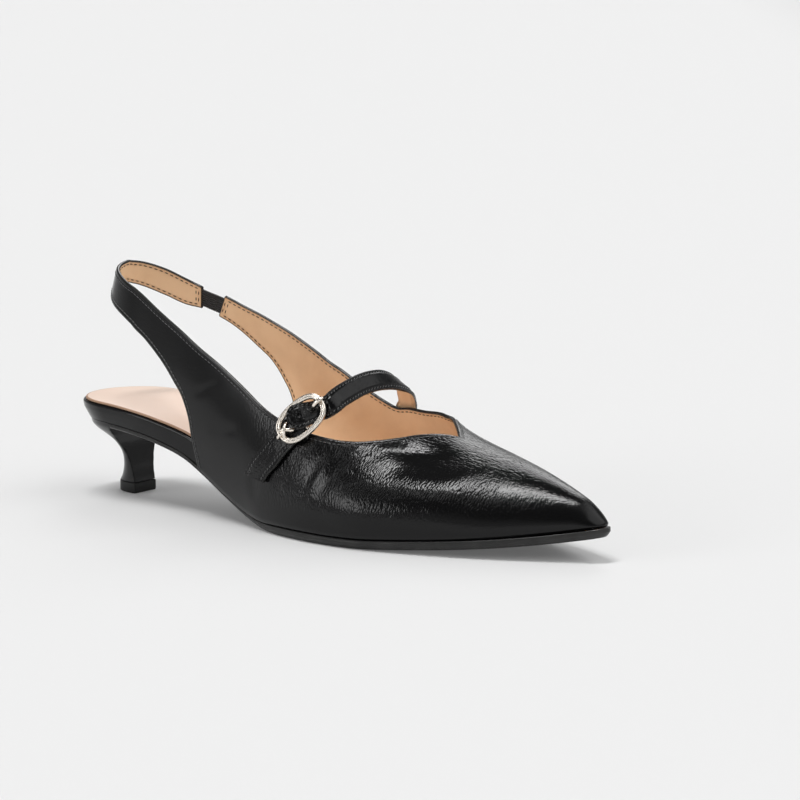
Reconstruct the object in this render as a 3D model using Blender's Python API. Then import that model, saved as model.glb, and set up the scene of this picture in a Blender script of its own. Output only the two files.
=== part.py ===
# Slingback pump, right shoe: sole, platform, heel, hollow upper, straps and buckle.
# X runs to the toe, +Y is the inner side of the foot, Z is up from the floor.
# The origin is the middle of the heel tip's tread.

import bpy
import numpy as np

# Main sizes of the shoe
LENGTH = 0.266            # back of the seat to the tip of the toe
HEEL_BACK = 0.0205        # back of the seat behind the origin
BALL_WIDTH = 0.080
INSTEP_HEIGHT = 0.064     # ridge of the last under the instep strap
SEAT_HEIGHT = 0.033       # seam under the platform at the seat
TOE_SPRING = 0.0104

# Walls and clearances
GAP = 0.0003
WALL = 0.0016             # upper leather with its lining
STRAP_WALL = 0.0016
SOLE_THICK = 0.0037       # outsole under the forefoot
SHANK_THICK = 0.0020      # outsole under the arch
SOLE_FACET = 0.0019       # upright upper part of the sole's edge
SOLE_BEVEL = 0.0014       # how far the lower part of the edge draws in
SOLE_EDGE = 0.0008        # sole beyond the upper at the toe
SHANK_INSET = 0.0014      # sole inside the upper at the arch
PLATFORM_THICK = 0.0072   # wrapped platform at the seat
INSOLE_THICK = 0.0016     # the same board inside the upper
SOCK_THICK = 0.0008

# Rounded ends of the outline
TOE_ROUND = 0.0070
NOSE_ROUND = 0.0120
SEAT_ROUND = 0.0245

# Loop of the sling round the heel
LOOP_AXIS = 0.0194        # where the sling starts to turn round the back
LOOP_LOW_BACK = 0.0055    # back of the loop behind the origin, at its lower edge
LOOP_LOW = 0.0900         # height of that lower edge
LOOP_LEAN = 0.30          # forward lean of the loop's back
LOOP_BACK_SHARE = 0.02    # station of the loop's back, the first in the tables of edges
LOOP_TAPER_SHARE = 0.12   # narrowing of the loop towards its back

# Heel
BREAST = 0.0060           # front of the heel tip
TIP_HEIGHT = 0.0045
TIP_WIDTH = 0.0136
TIP_DEPTH = 0.0130
TIP_STEP = 0.0002         # heel drawn in above its tip

# Instep strap and buckle
STRAP_WIDTH = 0.0090
RING_LENGTH = 0.0218      # middle of the wire to middle of the wire
RING_WIDTH = 0.0136
RING_WIRE = 0.00095
BAR_WIRE = 0.00075
BAR_DROP = 0.0002
PRONG_WIRE = 0.00065
TAB_WIDTH = 0.0112
TAB_WALL = 0.0012
ELASTIC_WIDTH = 0.0064
ELASTIC_WALL = 0.0011
EDGE_CHIP = 0.00025       # broken edges of the straps
SOCK_INSET = 0.0012       # platform seen beside the sock
PLATFORM_ROLL = 0.0006    # rounding of the platform's top edge
PLATFORM_END_SHARE = 0.985   # station where the platform ends inside the toe

# Mesh density
COLUMNS = 60
ROWS = 9
SOLE_STATIONS = 46
BOARD_STATIONS = 44
HEEL_POINTS = 13
ELASTIC_STATIONS = 8
ELASTIC_ROWS = 4
RING_POINTS = 36
WIRE_POINTS = 8
STRAP_STATIONS = 64
TAB_STATIONS = 20
PRONG_STATIONS = 12
SURFACE_STEP = 0.001      # step for the last's directions, a share


def table(names, rows):
    """A table of sections: one array for each named column."""
    return dict(zip(names.split(), np.array(rows, dtype=float).T))


def curve(tab, name, at, over="share"):
    """Smooth curve through one column of a table, held at its ends."""
    xs, ys = tab[over], tab[name]
    slopes = np.gradient(ys, xs)
    at = np.clip(at, xs[0], xs[-1])
    i = np.clip(np.searchsorted(xs, at, side="right") - 1, 0, len(xs) - 2)
    step = xs[i + 1] - xs[i]
    t = (at - xs[i]) / step
    start = ys[i] * (2 * t**3 - 3 * t**2 + 1) + ys[i + 1] * (3 * t**2 - 2 * t**3)
    bend = slopes[i] * (t**3 - 2 * t**2 + t) + slopes[i + 1] * (t**3 - t**2)
    return start + step * bend


# Sole line along the shoe. Height of the tread is a share of SEAT_HEIGHT behind the ball
# and of TOE_SPRING before it, thick runs from SHANK_THICK (0) to SOLE_THICK (1).
SOLE = table("share seat spring thick", [
    [0.00, 0.940, 0.00, 0.00],
    [0.10, 0.924, 0.00, 0.00],
    [0.15, 0.888, 0.00, 0.00],
    [0.20, 0.820, 0.00, 0.00],
    [0.26, 0.672, 0.00, 0.00],
    [0.30, 0.500, 0.00, 0.00],
    [0.35, 0.282, 0.00, 0.00],
    [0.40, 0.112, 0.00, 0.05],
    [0.45, 0.020, 0.00, 0.55],
    [0.48, 0.000, 0.00, 0.90],
    [0.52, 0.000, 0.00, 1.00],
    [0.60, 0.000, 0.00, 1.00],
    [0.66, 0.000, 0.02, 1.00],
    [0.72, 0.000, 0.12, 1.00],
    [0.80, 0.000, 0.28, 1.00],
    [0.87, 0.000, 0.47, 1.00],
    [0.93, 0.000, 0.68, 1.00],
    [0.97, 0.000, 0.85, 1.00],
    [1.00, 0.000, 1.00, 1.00]])

# Last along the shoe. Half widths are shares of BALL_WIDTH, out is the outer side of the
# foot and in the inner one: at the sole's seam and at the fullest height. The ridge and
# its shift towards the inner side are shares of INSTEP_HEIGHT and BALL_WIDTH.
LAST = table("share seam_out seam_in side_out side_in ridge shift", [
    [0.00, 0.305, 0.305, 0.305, 0.305, 2.34, 0.000],
    [0.10, 0.306, 0.305, 0.306, 0.306, 2.34, 0.000],
    [0.15, 0.322, 0.302, 0.312, 0.312, 2.34, 0.000],
    [0.20, 0.329, 0.291, 0.342, 0.342, 2.32, 0.010],
    [0.30, 0.332, 0.270, 0.398, 0.398, 2.18, 0.035],
    [0.40, 0.388, 0.280, 0.446, 0.422, 1.74, 0.062],
    [0.45, 0.445, 0.318, 0.478, 0.430, 1.46, 0.074],
    [0.50, 0.491, 0.369, 0.508, 0.440, 1.25, 0.082],
    [0.58, 0.526, 0.438, 0.538, 0.463, 0.992, 0.086],
    [0.65, 0.512, 0.462, 0.526, 0.479, 0.806, 0.081],
    [0.69, 0.482, 0.455, 0.496, 0.468, 0.708, 0.074],
    [0.72, 0.458, 0.438, 0.470, 0.450, 0.660, 0.068],
    [0.75, 0.426, 0.408, 0.438, 0.420, 0.626, 0.061],
    [0.80, 0.371, 0.344, 0.384, 0.356, 0.580, 0.047],
    [0.87, 0.269, 0.246, 0.281, 0.256, 0.508, 0.027],
    [0.93, 0.162, 0.154, 0.174, 0.163, 0.426, 0.012],
    [0.97, 0.091, 0.088, 0.100, 0.096, 0.360, 0.004],
    [1.00, 0.062, 0.058, 0.068, 0.064, 0.297, 0.000]])

TUCK_GIRTH = 0.22         # the wall draws in to the seam below this share of the girth

# Edges of the upper. p runs from the back of the sling to the toe on both sides.
# Stations are shares of LENGTH, heights are shares of the girth from seam to ridge, a
# little over 1 where the inner edge crosses the ridge.
OUTER = table("p low low_girth high high_girth", [
    [0.000, 0.020, 0.330, 0.020, 0.383],
    [0.050, 0.059, 0.308, 0.059, 0.375],
    [0.100, 0.097, 0.288, 0.100, 0.362],
    [0.150, 0.134, 0.266, 0.137, 0.342],
    [0.220, 0.183, 0.223, 0.190, 0.311],
    [0.290, 0.226, 0.193, 0.245, 0.289],
    [0.360, 0.256, 0.164, 0.300, 0.286],
    [0.430, 0.276, 0.143, 0.350, 0.303],
    [0.490, 0.289, 0.108, 0.390, 0.318],
    [0.540, 0.293, 0.064, 0.420, 0.328],
    [0.580, 0.297, 0.030, 0.445, 0.337],
    [0.620, 0.303, 0.000, 0.467, 0.345],
    [0.660, 0.345, 0.000, 0.497, 0.358],
    [0.700, 0.400, 0.000, 0.530, 0.380],
    [0.740, 0.460, 0.000, 0.565, 0.411],
    [0.780, 0.525, 0.000, 0.600, 0.459],
    [0.820, 0.590, 0.000, 0.635, 0.541],
    [0.850, 0.645, 0.000, 0.667, 0.664],
    [0.875, 0.685, 0.000, 0.694, 0.816],
    [0.893, 0.715, 0.000, 0.7105, 0.897],
    [0.905, 0.735, 0.000, 0.7262, 0.948],
    [0.930, 0.790, 0.000, 0.770, 1.000],
    [0.960, 0.875, 0.000, 0.860, 1.000],
    [0.985, 0.960, 0.000, 0.950, 1.000],
    [1.000, 1.000, 0.000, 1.000, 1.000]])
INNER = table("p low low_girth high high_girth", [
    [0.000, 0.020, 0.330, 0.020, 0.383],
    [0.050, 0.059, 0.315, 0.059, 0.373],
    [0.100, 0.097, 0.289, 0.097, 0.352],
    [0.140, 0.126, 0.266, 0.126, 0.328],
    [0.180, 0.150, 0.258, 0.153, 0.309],
    [0.240, 0.183, 0.246, 0.196, 0.298],
    [0.300, 0.214, 0.231, 0.236, 0.286],
    [0.360, 0.251, 0.205, 0.280, 0.285],
    [0.420, 0.277, 0.190, 0.325, 0.298],
    [0.480, 0.297, 0.168, 0.365, 0.315],
    [0.530, 0.315, 0.140, 0.396, 0.330],
    [0.570, 0.326, 0.100, 0.425, 0.350],
    [0.600, 0.334, 0.050, 0.445, 0.360],
    [0.630, 0.342, 0.000, 0.465, 0.367],
    [0.670, 0.380, 0.000, 0.495, 0.372],
    [0.710, 0.430, 0.000, 0.525, 0.385],
    [0.750, 0.490, 0.000, 0.550, 0.428],
    [0.790, 0.550, 0.000, 0.585, 0.486],
    [0.830, 0.610, 0.000, 0.6240, 0.585],
    [0.860, 0.655, 0.000, 0.6500, 0.660],
    [0.885, 0.695, 0.000, 0.6830, 0.830],
    [0.897, 0.718, 0.000, 0.7060, 0.955],
    [0.905, 0.735, 0.000, 0.7262, 1.069],
    [0.930, 0.790, 0.000, 0.770, 1.000],
    [0.960, 0.875, 0.000, 0.860, 1.000],
    [0.985, 0.960, 0.000, 0.950, 1.000],
    [1.000, 1.000, 0.000, 1.000, 1.000]])
ELASTIC_FROM = 0.18       # p on the inner side where the sling stops for its elastic
ELASTIC_TO = 0.24
APEX_SHARE = 0.905        # p where the throat's notch meets the ridge

# Platform over the sole: thickness from INSOLE_THICK (0) to PLATFORM_THICK (1), how far its
# top and its bottom edge lie inside the seam's outline, as shares of PLATFORM_INSET.
PLATFORM_INSET = WALL + 2 * GAP
PLATFORM = table("share thick top bottom", [
    [0.00, 1.00, 0.00, 1.55],
    [0.05, 1.00, 0.00, 1.05],
    [0.10, 1.00, 0.00, 0.70],
    [0.15, 1.00, 0.28, 0.80],
    [0.20, 1.03, 0.55, 0.90],
    [0.25, 1.15, 0.85, 1.00],
    [0.28, 1.28, 1.05, 1.15],
    [0.32, 1.10, 1.10, 1.15],
    [0.40, 0.52, 1.10, 1.15],
    [0.50, 0.10, 1.10, 1.15],
    [0.60, 0.00, 1.10, 1.15],
    [1.00, 0.00, 1.10, 1.15]])

# Side of the platform: height as a share of its thickness, and 0 to 1 from its top inset
# to its bottom inset
PLATFORM_SIDE = [
    (0.00, 1.00),
    (0.30, 0.55),
    (0.62, 0.12),
    (0.88, 0.00),
    (1.00, 0.00)]

# Edge of the outsole against the seam: 1 is SHANK_INSET inside it, -1 is SOLE_EDGE outside.
WELT = table("share draw", [
    [0.00, 1.00],
    [0.38, 1.00],
    [0.50, 0.10],
    [0.60, 0.00],
    [0.80, -0.30],
    [0.92, -1.00],
    [1.00, -1.00]])

# Heel from its tip to the seat. Height is a share of SEAT_HEIGHT, lean of BREAST, and wide
# and deep run from the tip's size (0) to the seat's (1).
HEEL = table("height lean wide deep", [
    [0.200, 0.08, 0.00, -0.14],
    [0.288, 0.18, 0.015, -0.31],
    [0.394, 0.27, 0.057, -0.45],
    [0.515, 0.40, 0.132, -0.57],
    [0.621, 0.52, 0.264, -0.62],
    [0.712, 0.57, 0.42, -0.46],
    [0.800, 0.50, 0.62, 0.04],
    [0.870, 0.34, 0.80, 0.55],
    [0.925, 0.16, 0.92, 0.85]])

# Instep strap from its root on the inner side to the buckle. Shares of LENGTH, BALL_WIDTH
# and INSTEP_HEIGHT, lean turns the strap's face towards the toe, in degrees.
STRAP_ROOT = table("share girth", [
    [0.5255, 0.345],
    [0.5305, 0.375],
    [0.5360, 0.400]])
STRAP = table("along across height lean", [
    [0.5470, 0.352, 0.775, 10],
    [0.5560, 0.300, 0.832, 20],
    [0.5640, 0.205, 0.893, 40],
    [0.5695, 0.045, 0.942, 57],
    [0.5700, -0.100, 0.940, 60],
    [0.5707, -0.224, 0.911, 58],
    [0.5703, -0.290, 0.888, 54]])

# Oval of the buckle: the directions of its long middle line and of its face, and its place
RING_ALONG = (0.640, 0.372, 0.675)
RING_OUT = (0.230, -0.920, 0.320)
RING_SHARE = 0.5180       # station and girth under the ring's lower half
RING_GIRTH = 0.372
RING_LIFT = 0.0006        # room under the ring for its turn away from the quarter
RING_SEAT_SHARE = 0.24    # that point below the ring's middle, a share of RING_LENGTH
RING_POWER = 2.5          # squareness of the oval, 2 is an ellipse

# Strap through the buckle: shares of RING_LENGTH along it and of its rise over the bar
BUCKLED = table("along beside rise", [
    [0.60, 0.26, 0.30],
    [0.48, 0.20, 0.00],
    [0.32, 0.10, 0.00],
    [0.15, 0.02, 0.55],
    [0.02, -0.05, 1.00],
    [-0.10, -0.07, 1.12],
    [-0.22, -0.08, 1.20]])

# Prong from the strap over the ring's far end: share of RING_LENGTH, rise over the wire
PRONG = table("along rise", [
    [0.30, 0.10],
    [0.37, 0.75],
    [0.45, 1.00],
    [0.53, 0.98],
    [0.60, 0.60]])

# Base strap of the buckle on the outer quarter
TAB = table("share girth turn", [
    [0.4520, 0.133, 0.00],
    [0.4650, 0.181, 0.20],
    [0.4780, 0.226, 0.45],
    [0.4915, 0.272, 0.70],
    [0.5030, 0.314, 0.90]])
TAB_SLANT = 0.15          # fall of its lower end towards the toe
TAB_FREE = (-0.06, 0.03)  # its end under the bar, shares of RING_LENGTH from the middle


def forward(share):
    """X of a station."""
    return share * LENGTH - HEEL_BACK


def tread(share):
    """Height of the underside of the sole."""
    rise = curve(SOLE, "seat", share) * SEAT_HEIGHT + curve(SOLE, "spring", share) * TOE_SPRING
    return np.maximum(rise, 0)


def seam(share):
    """Height of the seam on top of the sole."""
    thick = SHANK_THICK + curve(SOLE, "thick", share) * (SOLE_THICK - SHANK_THICK)
    return tread(share) + thick


def round_off(share, length):
    """Factor that rounds a width or height down to nothing at the toe."""
    t = np.clip(1 - (1 - share) * LENGTH / length, 0, 1)
    return np.sqrt(1 - t**2)


def seam_width(side, share, end=1.0):
    """Half width at the seam, side is -1 on the outer side and 1 on the inner."""
    name = "seam_out" if side < 0 else "seam_in"
    return curve(LAST, name, share) * BALL_WIDTH * round_off(share + 1 - end, TOE_ROUND)


def section(side, share, girth):
    """Y and Z on the last, between the seam (girth 0) and the ridge (girth 1)."""
    turn = girth * np.pi / 2
    name = "side_out" if side < 0 else "side_in"
    full = curve(LAST, name, share) * BALL_WIDTH * round_off(share, TOE_ROUND)
    shift = curve(LAST, "shift", share) * BALL_WIDTH * side
    tuck = (full - seam_width(side, share)) * np.clip(1 - girth / TUCK_GIRTH, 0, 1)**2
    foot = seam(share) + GAP
    height = (curve(LAST, "ridge", share) * INSTEP_HEIGHT - foot) * round_off(share, NOSE_ROUND)
    y = shift + (full - shift) * np.cos(turn) - tuck
    return side * y, foot + height * np.sin(turn)


def last_point(side, share, girth):
    """Point on the last. Stations behind the loop's axis turn round the back."""
    axis = (LOOP_AXIS + HEEL_BACK) / LENGTH
    turn = np.clip((axis - share) / (axis - LOOP_BACK_SHARE), 0, 1) * np.pi / 2
    y, z = section(side, np.maximum(share, axis), girth)
    reach = LOOP_AXIS + LOOP_LOW_BACK - (z - LOOP_LOW) * LOOP_LEAN
    x = np.where(share > axis, forward(share), LOOP_AXIS - reach * np.sin(turn))
    y = y * np.cos(turn) * (1 - LOOP_TAPER_SHARE * np.sin(turn))
    return np.stack([x, y, z], axis=-1)


def unit(vector):
    """The same direction with length 1."""
    vector = np.asarray(vector, dtype=float)
    return vector / np.linalg.norm(vector, axis=-1, keepdims=True)


def normal(side, share, girth):
    """Outward direction of the last, straight ahead at the tip of the toe."""
    d = SURFACE_STEP
    near = np.clip(share, LOOP_BACK_SHARE + 2 * d, 1 - 6 * d)
    upper = np.clip(girth + d, 2 * d, 1)
    along = last_point(side, near + d, girth) - last_point(side, near - d, girth)
    up = last_point(side, near, upper) - last_point(side, near, upper - 2 * d)
    out = unit(np.cross(up, along)) * side
    tip = np.clip((np.asarray(share) - 0.985) / 0.015, 0, 1)[..., None]
    return unit(out * (1 - tip) + np.array([1.0, 0.0, 0.0]) * tip)


def outline(side, share, inset, end=1.0):
    """Points of the seam's outline in plan, drawn in by inset."""
    def edge(at):
        back = np.clip(1 - at * LENGTH / SEAT_ROUND, 0, 1)
        width = seam_width(side, at, end) * np.sqrt(1 - back**2)
        return np.stack([forward(at), side * width], axis=-1)
    d = 0.0004
    along = unit(edge(np.minimum(share + d, end)) - edge(np.maximum(share - d, 0)))
    out = np.stack([-along[:, 1], along[:, 0]], axis=-1) * side
    out[share <= 0] = (-1, 0)
    out[share >= end] = (1, 0)
    return edge(share) - out * np.broadcast_to(inset, share.shape)[:, None]


# Solids

def material(name, colour, roughness, metallic=0.0):
    """A plain Principled material."""
    made = bpy.data.materials.new(name)
    made.use_nodes = True
    shader = made.node_tree.nodes["Principled BSDF"]
    shader.inputs["Base Color"].default_value = (*colour, 1)
    shader.inputs["Roughness"].default_value = roughness
    shader.inputs["Metallic"].default_value = metallic
    made.diffuse_color = (*colour, 1)
    return made


def solid(name, points, faces, skin, sharp=35):
    """One closed body as an object, smooth except at its sharp edges."""
    points = np.asarray(points)
    corners = np.array([(f[0], f[k], f[k + 1]) for f in faces for k in range(1, len(f) - 1)])
    a, b, c = points[corners].transpose(1, 0, 2)
    if np.sum(a * np.cross(b, c)) < 0:
        faces = [face[::-1] for face in faces]
    mesh = bpy.data.meshes.new(name)
    mesh.from_pydata(points.tolist(), [], faces)
    mesh.polygons.foreach_set("use_smooth", [True] * len(mesh.polygons))
    mesh.set_sharp_from_angle(angle=np.radians(sharp))
    mesh.materials.append(skin)
    made = bpy.data.objects.new(name, mesh)
    bpy.context.collection.objects.link(made)
    return made


def distinct(face):
    """A face's points without repeats."""
    return list(dict.fromkeys(int(i) for i in face))


def slab(name, rings, skin, one_start=True, one_end=True):
    """Body between stacked rings, lowest first. A ring is its outer and its inner half,
    from back to front, and the halves may share their first and last points."""
    count = len(rings[0][0])
    first = 1 if one_start else 0
    last = count - 1 if one_end else count
    points = np.concatenate([np.concatenate([outer, inner[first:last][::-1]])
                             for outer, inner in rings])
    size = count + last - first
    mates = [k if k < first or k >= last else count + last - 1 - k for k in range(count)]
    faces = []
    for level in range(len(rings) - 1):
        base = level * size
        for k in range(size):
            after = (k + 1) % size
            faces.append([base + k, base + after, base + size + after, base + size + k])
    top = (len(rings) - 1) * size
    for k in range(count - 1):
        rung = [k, k + 1, mates[k + 1], mates[k]]
        faces.append(distinct(rung[::-1]))
        faces.append([top + i for i in distinct(rung)])
    return solid(name, points, faces, skin)


def shell(name, front, back, faces, skin):
    """Hollow wall between two like sheets, closed along every free edge."""
    used, index = np.unique(np.concatenate([np.array(f) for f in faces]), return_inverse=True)
    fresh = dict(zip(used.tolist(), range(len(used))))
    faces = [[fresh[i] for i in face] for face in faces]
    count = len(used)
    edges = {(face[k - 1], face[k]) for face in faces for k in range(len(face))}
    rims = [[b, a, a + count, b + count] for a, b in sorted(edges) if (b, a) not in edges]
    inner = [[i + count for i in reversed(face)] for face in faces]
    return solid(name, np.concatenate([front[used], back[used]]), faces + inner + rims, skin)


def tube(path, radius, beside, closed=False, around=WIRE_POINTS):
    """Points and faces of a round wire along a path. beside never lies along the path."""
    along = unit(np.gradient(path, axis=0))
    if closed:
        along = unit(np.roll(path, -1, axis=0) - np.roll(path, 1, axis=0))
    across = unit(beside - along * (along @ np.asarray(beside))[:, None])
    over = np.cross(along, across)
    angle = np.linspace(0, 2 * np.pi, around, endpoint=False)[:, None, None]
    reach = np.broadcast_to(radius, len(path))[:, None]
    points = (path + reach * (np.cos(angle) * across + np.sin(angle) * over)).transpose(1, 0, 2)
    count = len(path)
    spans = count if closed else count - 1
    faces = [[k * around + j, k * around + (j + 1) % around,
              (k + 1) % count * around + (j + 1) % around, (k + 1) % count * around + j]
             for k in range(spans) for j in range(around)]
    if not closed:
        faces.append(list(range(around))[::-1])
        faces.append([(count - 1) * around + j for j in range(around)])
    return points.reshape(-1, 3), faces


def band(name, path, across, width, wall, skin):
    """Flat strap along a path, with slightly broken edges."""
    along = unit(np.gradient(path, axis=0))
    across = unit(across)
    over = unit(np.cross(along, across))
    side = np.broadcast_to(width, len(path))[:, None] / 2
    half = wall / 2
    chip = np.minimum(EDGE_CHIP, side * 0.4)
    corners = [(-1, -1, 1), (-1, -1, 0), (-1, 1, 0), (-1, 1, 1),
               (1, 1, 1), (1, 1, 0), (1, -1, 0), (1, -1, 1)]
    rows = []
    for beside, above, broken in corners:
        out = beside * (side - chip * broken)
        rows.append(path + across * out + over * above * (half - EDGE_CHIP * (1 - broken)))
    points = np.stack(rows, axis=1)
    around = len(corners)
    count = len(path)
    faces = [[k * around + j, k * around + (j + 1) % around,
              (k + 1) * around + (j + 1) % around, (k + 1) * around + j]
             for k in range(count - 1) for j in range(around)]
    faces.append(list(range(around))[::-1])
    faces.append([(count - 1) * around + j for j in range(around)])
    return solid(name, points.reshape(-1, 3), faces, skin)


def through(points, count):
    """Smooth path of count points through a few chosen ones, evenly spaced."""
    points = np.asarray(points, dtype=float)
    reach = np.concatenate([[0], np.cumsum(np.linalg.norm(np.diff(points, axis=0), axis=1))])
    rows = {"share": reach}
    for k in range(points.shape[1]):
        rows[str(k)] = points[:, k]
    at = np.linspace(0, reach[-1], count)
    return np.stack([curve(rows, str(k), at) for k in range(points.shape[1])], axis=1)


def bunched(count, start, end):
    """Steps from 0 to 1 for a row of stations, closer together at the ends asked for."""
    t = np.linspace(0, 1, count)
    eased = (1 - np.cos(np.pi * t)) / 2
    ends = (1 - t) * start + t * end
    return t + (eased - t) * ends


# Pieces

def ring(share, inset, height, end=1.0):
    """Both halves of a drawn-in outline, each point at the height of its own station."""
    halves = [outline(side, share, inset, end) for side in (-1, 1)]
    return [np.column_stack([half, height((half[:, 0] + HEEL_BACK) / LENGTH)]) for half in halves]


def make_outsole(skin):
    """Thin sole from the breast to the toe, with an upright edge over a drawn-in one."""
    start = (BREAST + GAP + HEEL_BACK) / LENGTH
    share = start + (1 - start) * bunched(SOLE_STATIONS, 0, 0.9)
    draw = curve(WELT, "draw", share)
    inset = np.where(draw > 0, draw * SHANK_INSET, draw * SOLE_EDGE)
    bevel = SOLE_BEVEL * (0.5 + 0.5 * curve(SOLE, "thick", share))

    def facet(at):
        thick = curve(SOLE, "thick", at)
        return seam(at) - (0.5 * SHANK_THICK * (1 - thick) + SOLE_FACET * thick)

    rings = [ring(share, inset + bevel, tread), ring(share, inset, facet), ring(share, inset, seam)]
    return slab("outsole", rings, skin, one_start=False)


def platform_part(rise):
    """Height in the platform as a function of station, rise 0 underneath and 1 on top."""
    def height(at):
        thick = INSOLE_THICK + curve(PLATFORM, "thick", at) * (PLATFORM_THICK - INSOLE_THICK)
        return seam(at) + GAP + thick * rise
    return height


def make_platform(skin):
    """Wrapped board under the whole foot, thick at the seat and thin inside the upper."""
    share = PLATFORM_END_SHARE * bunched(BOARD_STATIONS, 0.9, 0.9)
    top = curve(PLATFORM, "top", share) * PLATFORM_INSET
    bottom = curve(PLATFORM, "bottom", share) * PLATFORM_INSET
    rings = []
    for rise, drawn in PLATFORM_SIDE:
        inset = top + (bottom - top) * drawn + PLATFORM_ROLL * (rise == 1)
        rings.append(ring(share, inset, platform_part(rise), PLATFORM_END_SHARE))
    return slab("insole_board", rings, skin)


def make_sock(skin):
    """Pale sock on the platform."""
    share = PLATFORM_END_SHARE * bunched(BOARD_STATIONS, 0.9, 0.9)
    inset = curve(PLATFORM, "top", share) * PLATFORM_INSET + SOCK_INSET
    top = platform_part(1)
    rings = [ring(share, inset, lambda at, over=over: top(at) + over, PLATFORM_END_SHARE)
             for over in (GAP, GAP + SOCK_THICK)]
    return slab("insole_sock", rings, skin)


def dee(breast, half, depth, height):
    """Ring of the heel: flat in front, half an ellipse behind. height is a value or a row."""
    turn = np.linspace(0, np.pi / 2, HEEL_POINTS)
    halves = []
    for side in (-1, 1):
        x = breast - depth * np.cos(turn)
        y = side * half * np.sin(turn)
        halves.append(np.column_stack([x, y, np.broadcast_to(height, x.shape)]))
    return halves


def make_heel_tip(skin):
    """Top piece under the heel, flat on the floor."""
    rings = [dee(BREAST, TIP_WIDTH / 2, TIP_DEPTH, height) for height in (0, TIP_HEIGHT)]
    return slab("heel_tip", rings, skin, one_end=False)


def make_heel(skin):
    """Kitten heel from its tip through the waist to the whole seat."""
    seat = (BREAST + HEEL_BACK) / LENGTH
    bottom = curve(PLATFORM, "bottom", np.array([0.0, seat])) * PLATFORM_INSET + GAP
    seat_depth = BREAST + HEEL_BACK - bottom[0]
    seat_half = seam_width(1, seat) - bottom[1]
    tip_half = TIP_WIDTH / 2 - TIP_STEP
    tip_depth = TIP_DEPTH - 2 * TIP_STEP
    rings = [dee(BREAST - TIP_STEP, tip_half, tip_depth, TIP_HEIGHT + GAP)]
    for height, lean, wide, deep in zip(*[HEEL[name] for name in ("height", "lean", "wide", "deep")]):
        rings.append(dee(BREAST * (1 - lean), tip_half + (seat_half - tip_half) * wide,
                         tip_depth + (seat_depth - tip_depth) * deep, SEAT_HEIGHT * height))
    top = dee(BREAST, seat_half, seat_depth, 0)
    for half in top:
        half[:, 2] = seam((half[:, 0] + HEEL_BACK) / LENGTH)
    return slab("heel", rings + [top], skin, one_end=False)


def upper_grid(side, p, v):
    """Shares along the shoe and girths of the upper, a row of values for each p."""
    tab = OUTER if side < 0 else INNER
    low, low_girth, high, high_girth = [curve(tab, name, p, "p")[:, None] for name in
                                        ("low", "low_girth", "high", "high_girth")]
    share = low + (high - low) * v
    low_girth = np.maximum(low_girth, 0)
    girth = low_girth + (high_girth - low_girth) * v
    return share, girth


def make_upper(skin):
    """Vamp, both quarters and the sling as one hollow wall, open where the photo shows."""
    marks = [0, ELASTIC_FROM, ELASTIC_TO, APEX_SHARE, 1]
    counts = [int(round(COLUMNS * (b - a))) for a, b in zip(marks[:-1], marks[1:])]
    p = np.concatenate([np.linspace(a, b, n, endpoint=False)
                        for a, b, n in zip(marks[:-1], marks[1:], counts)] + [[1.0]])
    v = np.linspace(0, 1, ROWS + 1)
    apex = sum(counts[:3])
    gap = range(counts[0], counts[0] + counts[1])
    front, back = [], []
    for side in (-1, 1):
        share, girth = upper_grid(side, p, v)
        points = last_point(side, share, girth)
        front.append(points.reshape(-1, 3))
        back.append((points - WALL * normal(side, share, girth)).reshape(-1, 3))
    outer = np.arange(len(p) * len(v)).reshape(len(p), len(v))
    inner = outer + outer.size
    inner[0] = outer[0]
    inner[apex:, -1] = outer[apex:, -1]
    outer[-1] = outer[-1, 0]
    inner[-1] = outer[-1, 0]
    faces = []
    for i in range(len(p) - 1):
        for j in range(ROWS):
            cell = [(i, j), (i + 1, j), (i + 1, j + 1), (i, j + 1)]
            faces.append(distinct(outer[c] for c in cell))
            if i not in gap:
                faces.append(distinct(inner[c] for c in reversed(cell)))
    return shell("upper", np.concatenate(front), np.concatenate(back), faces, skin)


def make_elastic(skin):
    """Short elastic in the middle of the wall, between the sling's two ends."""
    p = np.linspace(ELASTIC_FROM, ELASTIC_TO, ELASTIC_STATIONS)
    ends = last_point(1, *[column[:, [0, -1]] for column in upper_grid(1, p, np.array([0, 1]))])
    tall = np.linalg.norm(ends[:, 1] - ends[:, 0], axis=1)
    v = 0.5 + ELASTIC_WIDTH / tall[:, None] * np.linspace(-0.5, 0.5, ELASTIC_ROWS)
    share, girth = upper_grid(1, p, v)
    share = share + GAP / LENGTH * np.linspace(1.2, -1.2, len(p))[:, None]
    points = last_point(1, share, girth)
    out = normal(1, share, girth)
    depth = (WALL - ELASTIC_WALL) / 2
    grid = np.arange(share.size).reshape(share.shape)
    faces = [[int(grid[i, j + 1]), int(grid[i + 1, j + 1]), int(grid[i + 1, j]), int(grid[i, j])]
             for i in range(len(p) - 1) for j in range(share.shape[1] - 1)]
    return shell("sling_elastic", (points - depth * out).reshape(-1, 3),
                 (points - (depth + ELASTIC_WALL) * out).reshape(-1, 3), faces, skin)


def ring_frame():
    """Middle of the buckle and its directions along, across and outward."""
    share, girth = np.array([RING_SHARE]), np.array([RING_GIRTH])
    out = unit(RING_OUT)
    along = unit(np.array(RING_ALONG) - out * (out @ np.array(RING_ALONG)))
    across = np.cross(along, out)
    clear = 3 * GAP + TAB_WALL + RING_WIRE + RING_LIFT
    seat = last_point(-1, share, girth)[0] + normal(-1, share, girth)[0] * clear
    return seat + along * RING_SEAT_SHARE * RING_LENGTH, along, across, out


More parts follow.
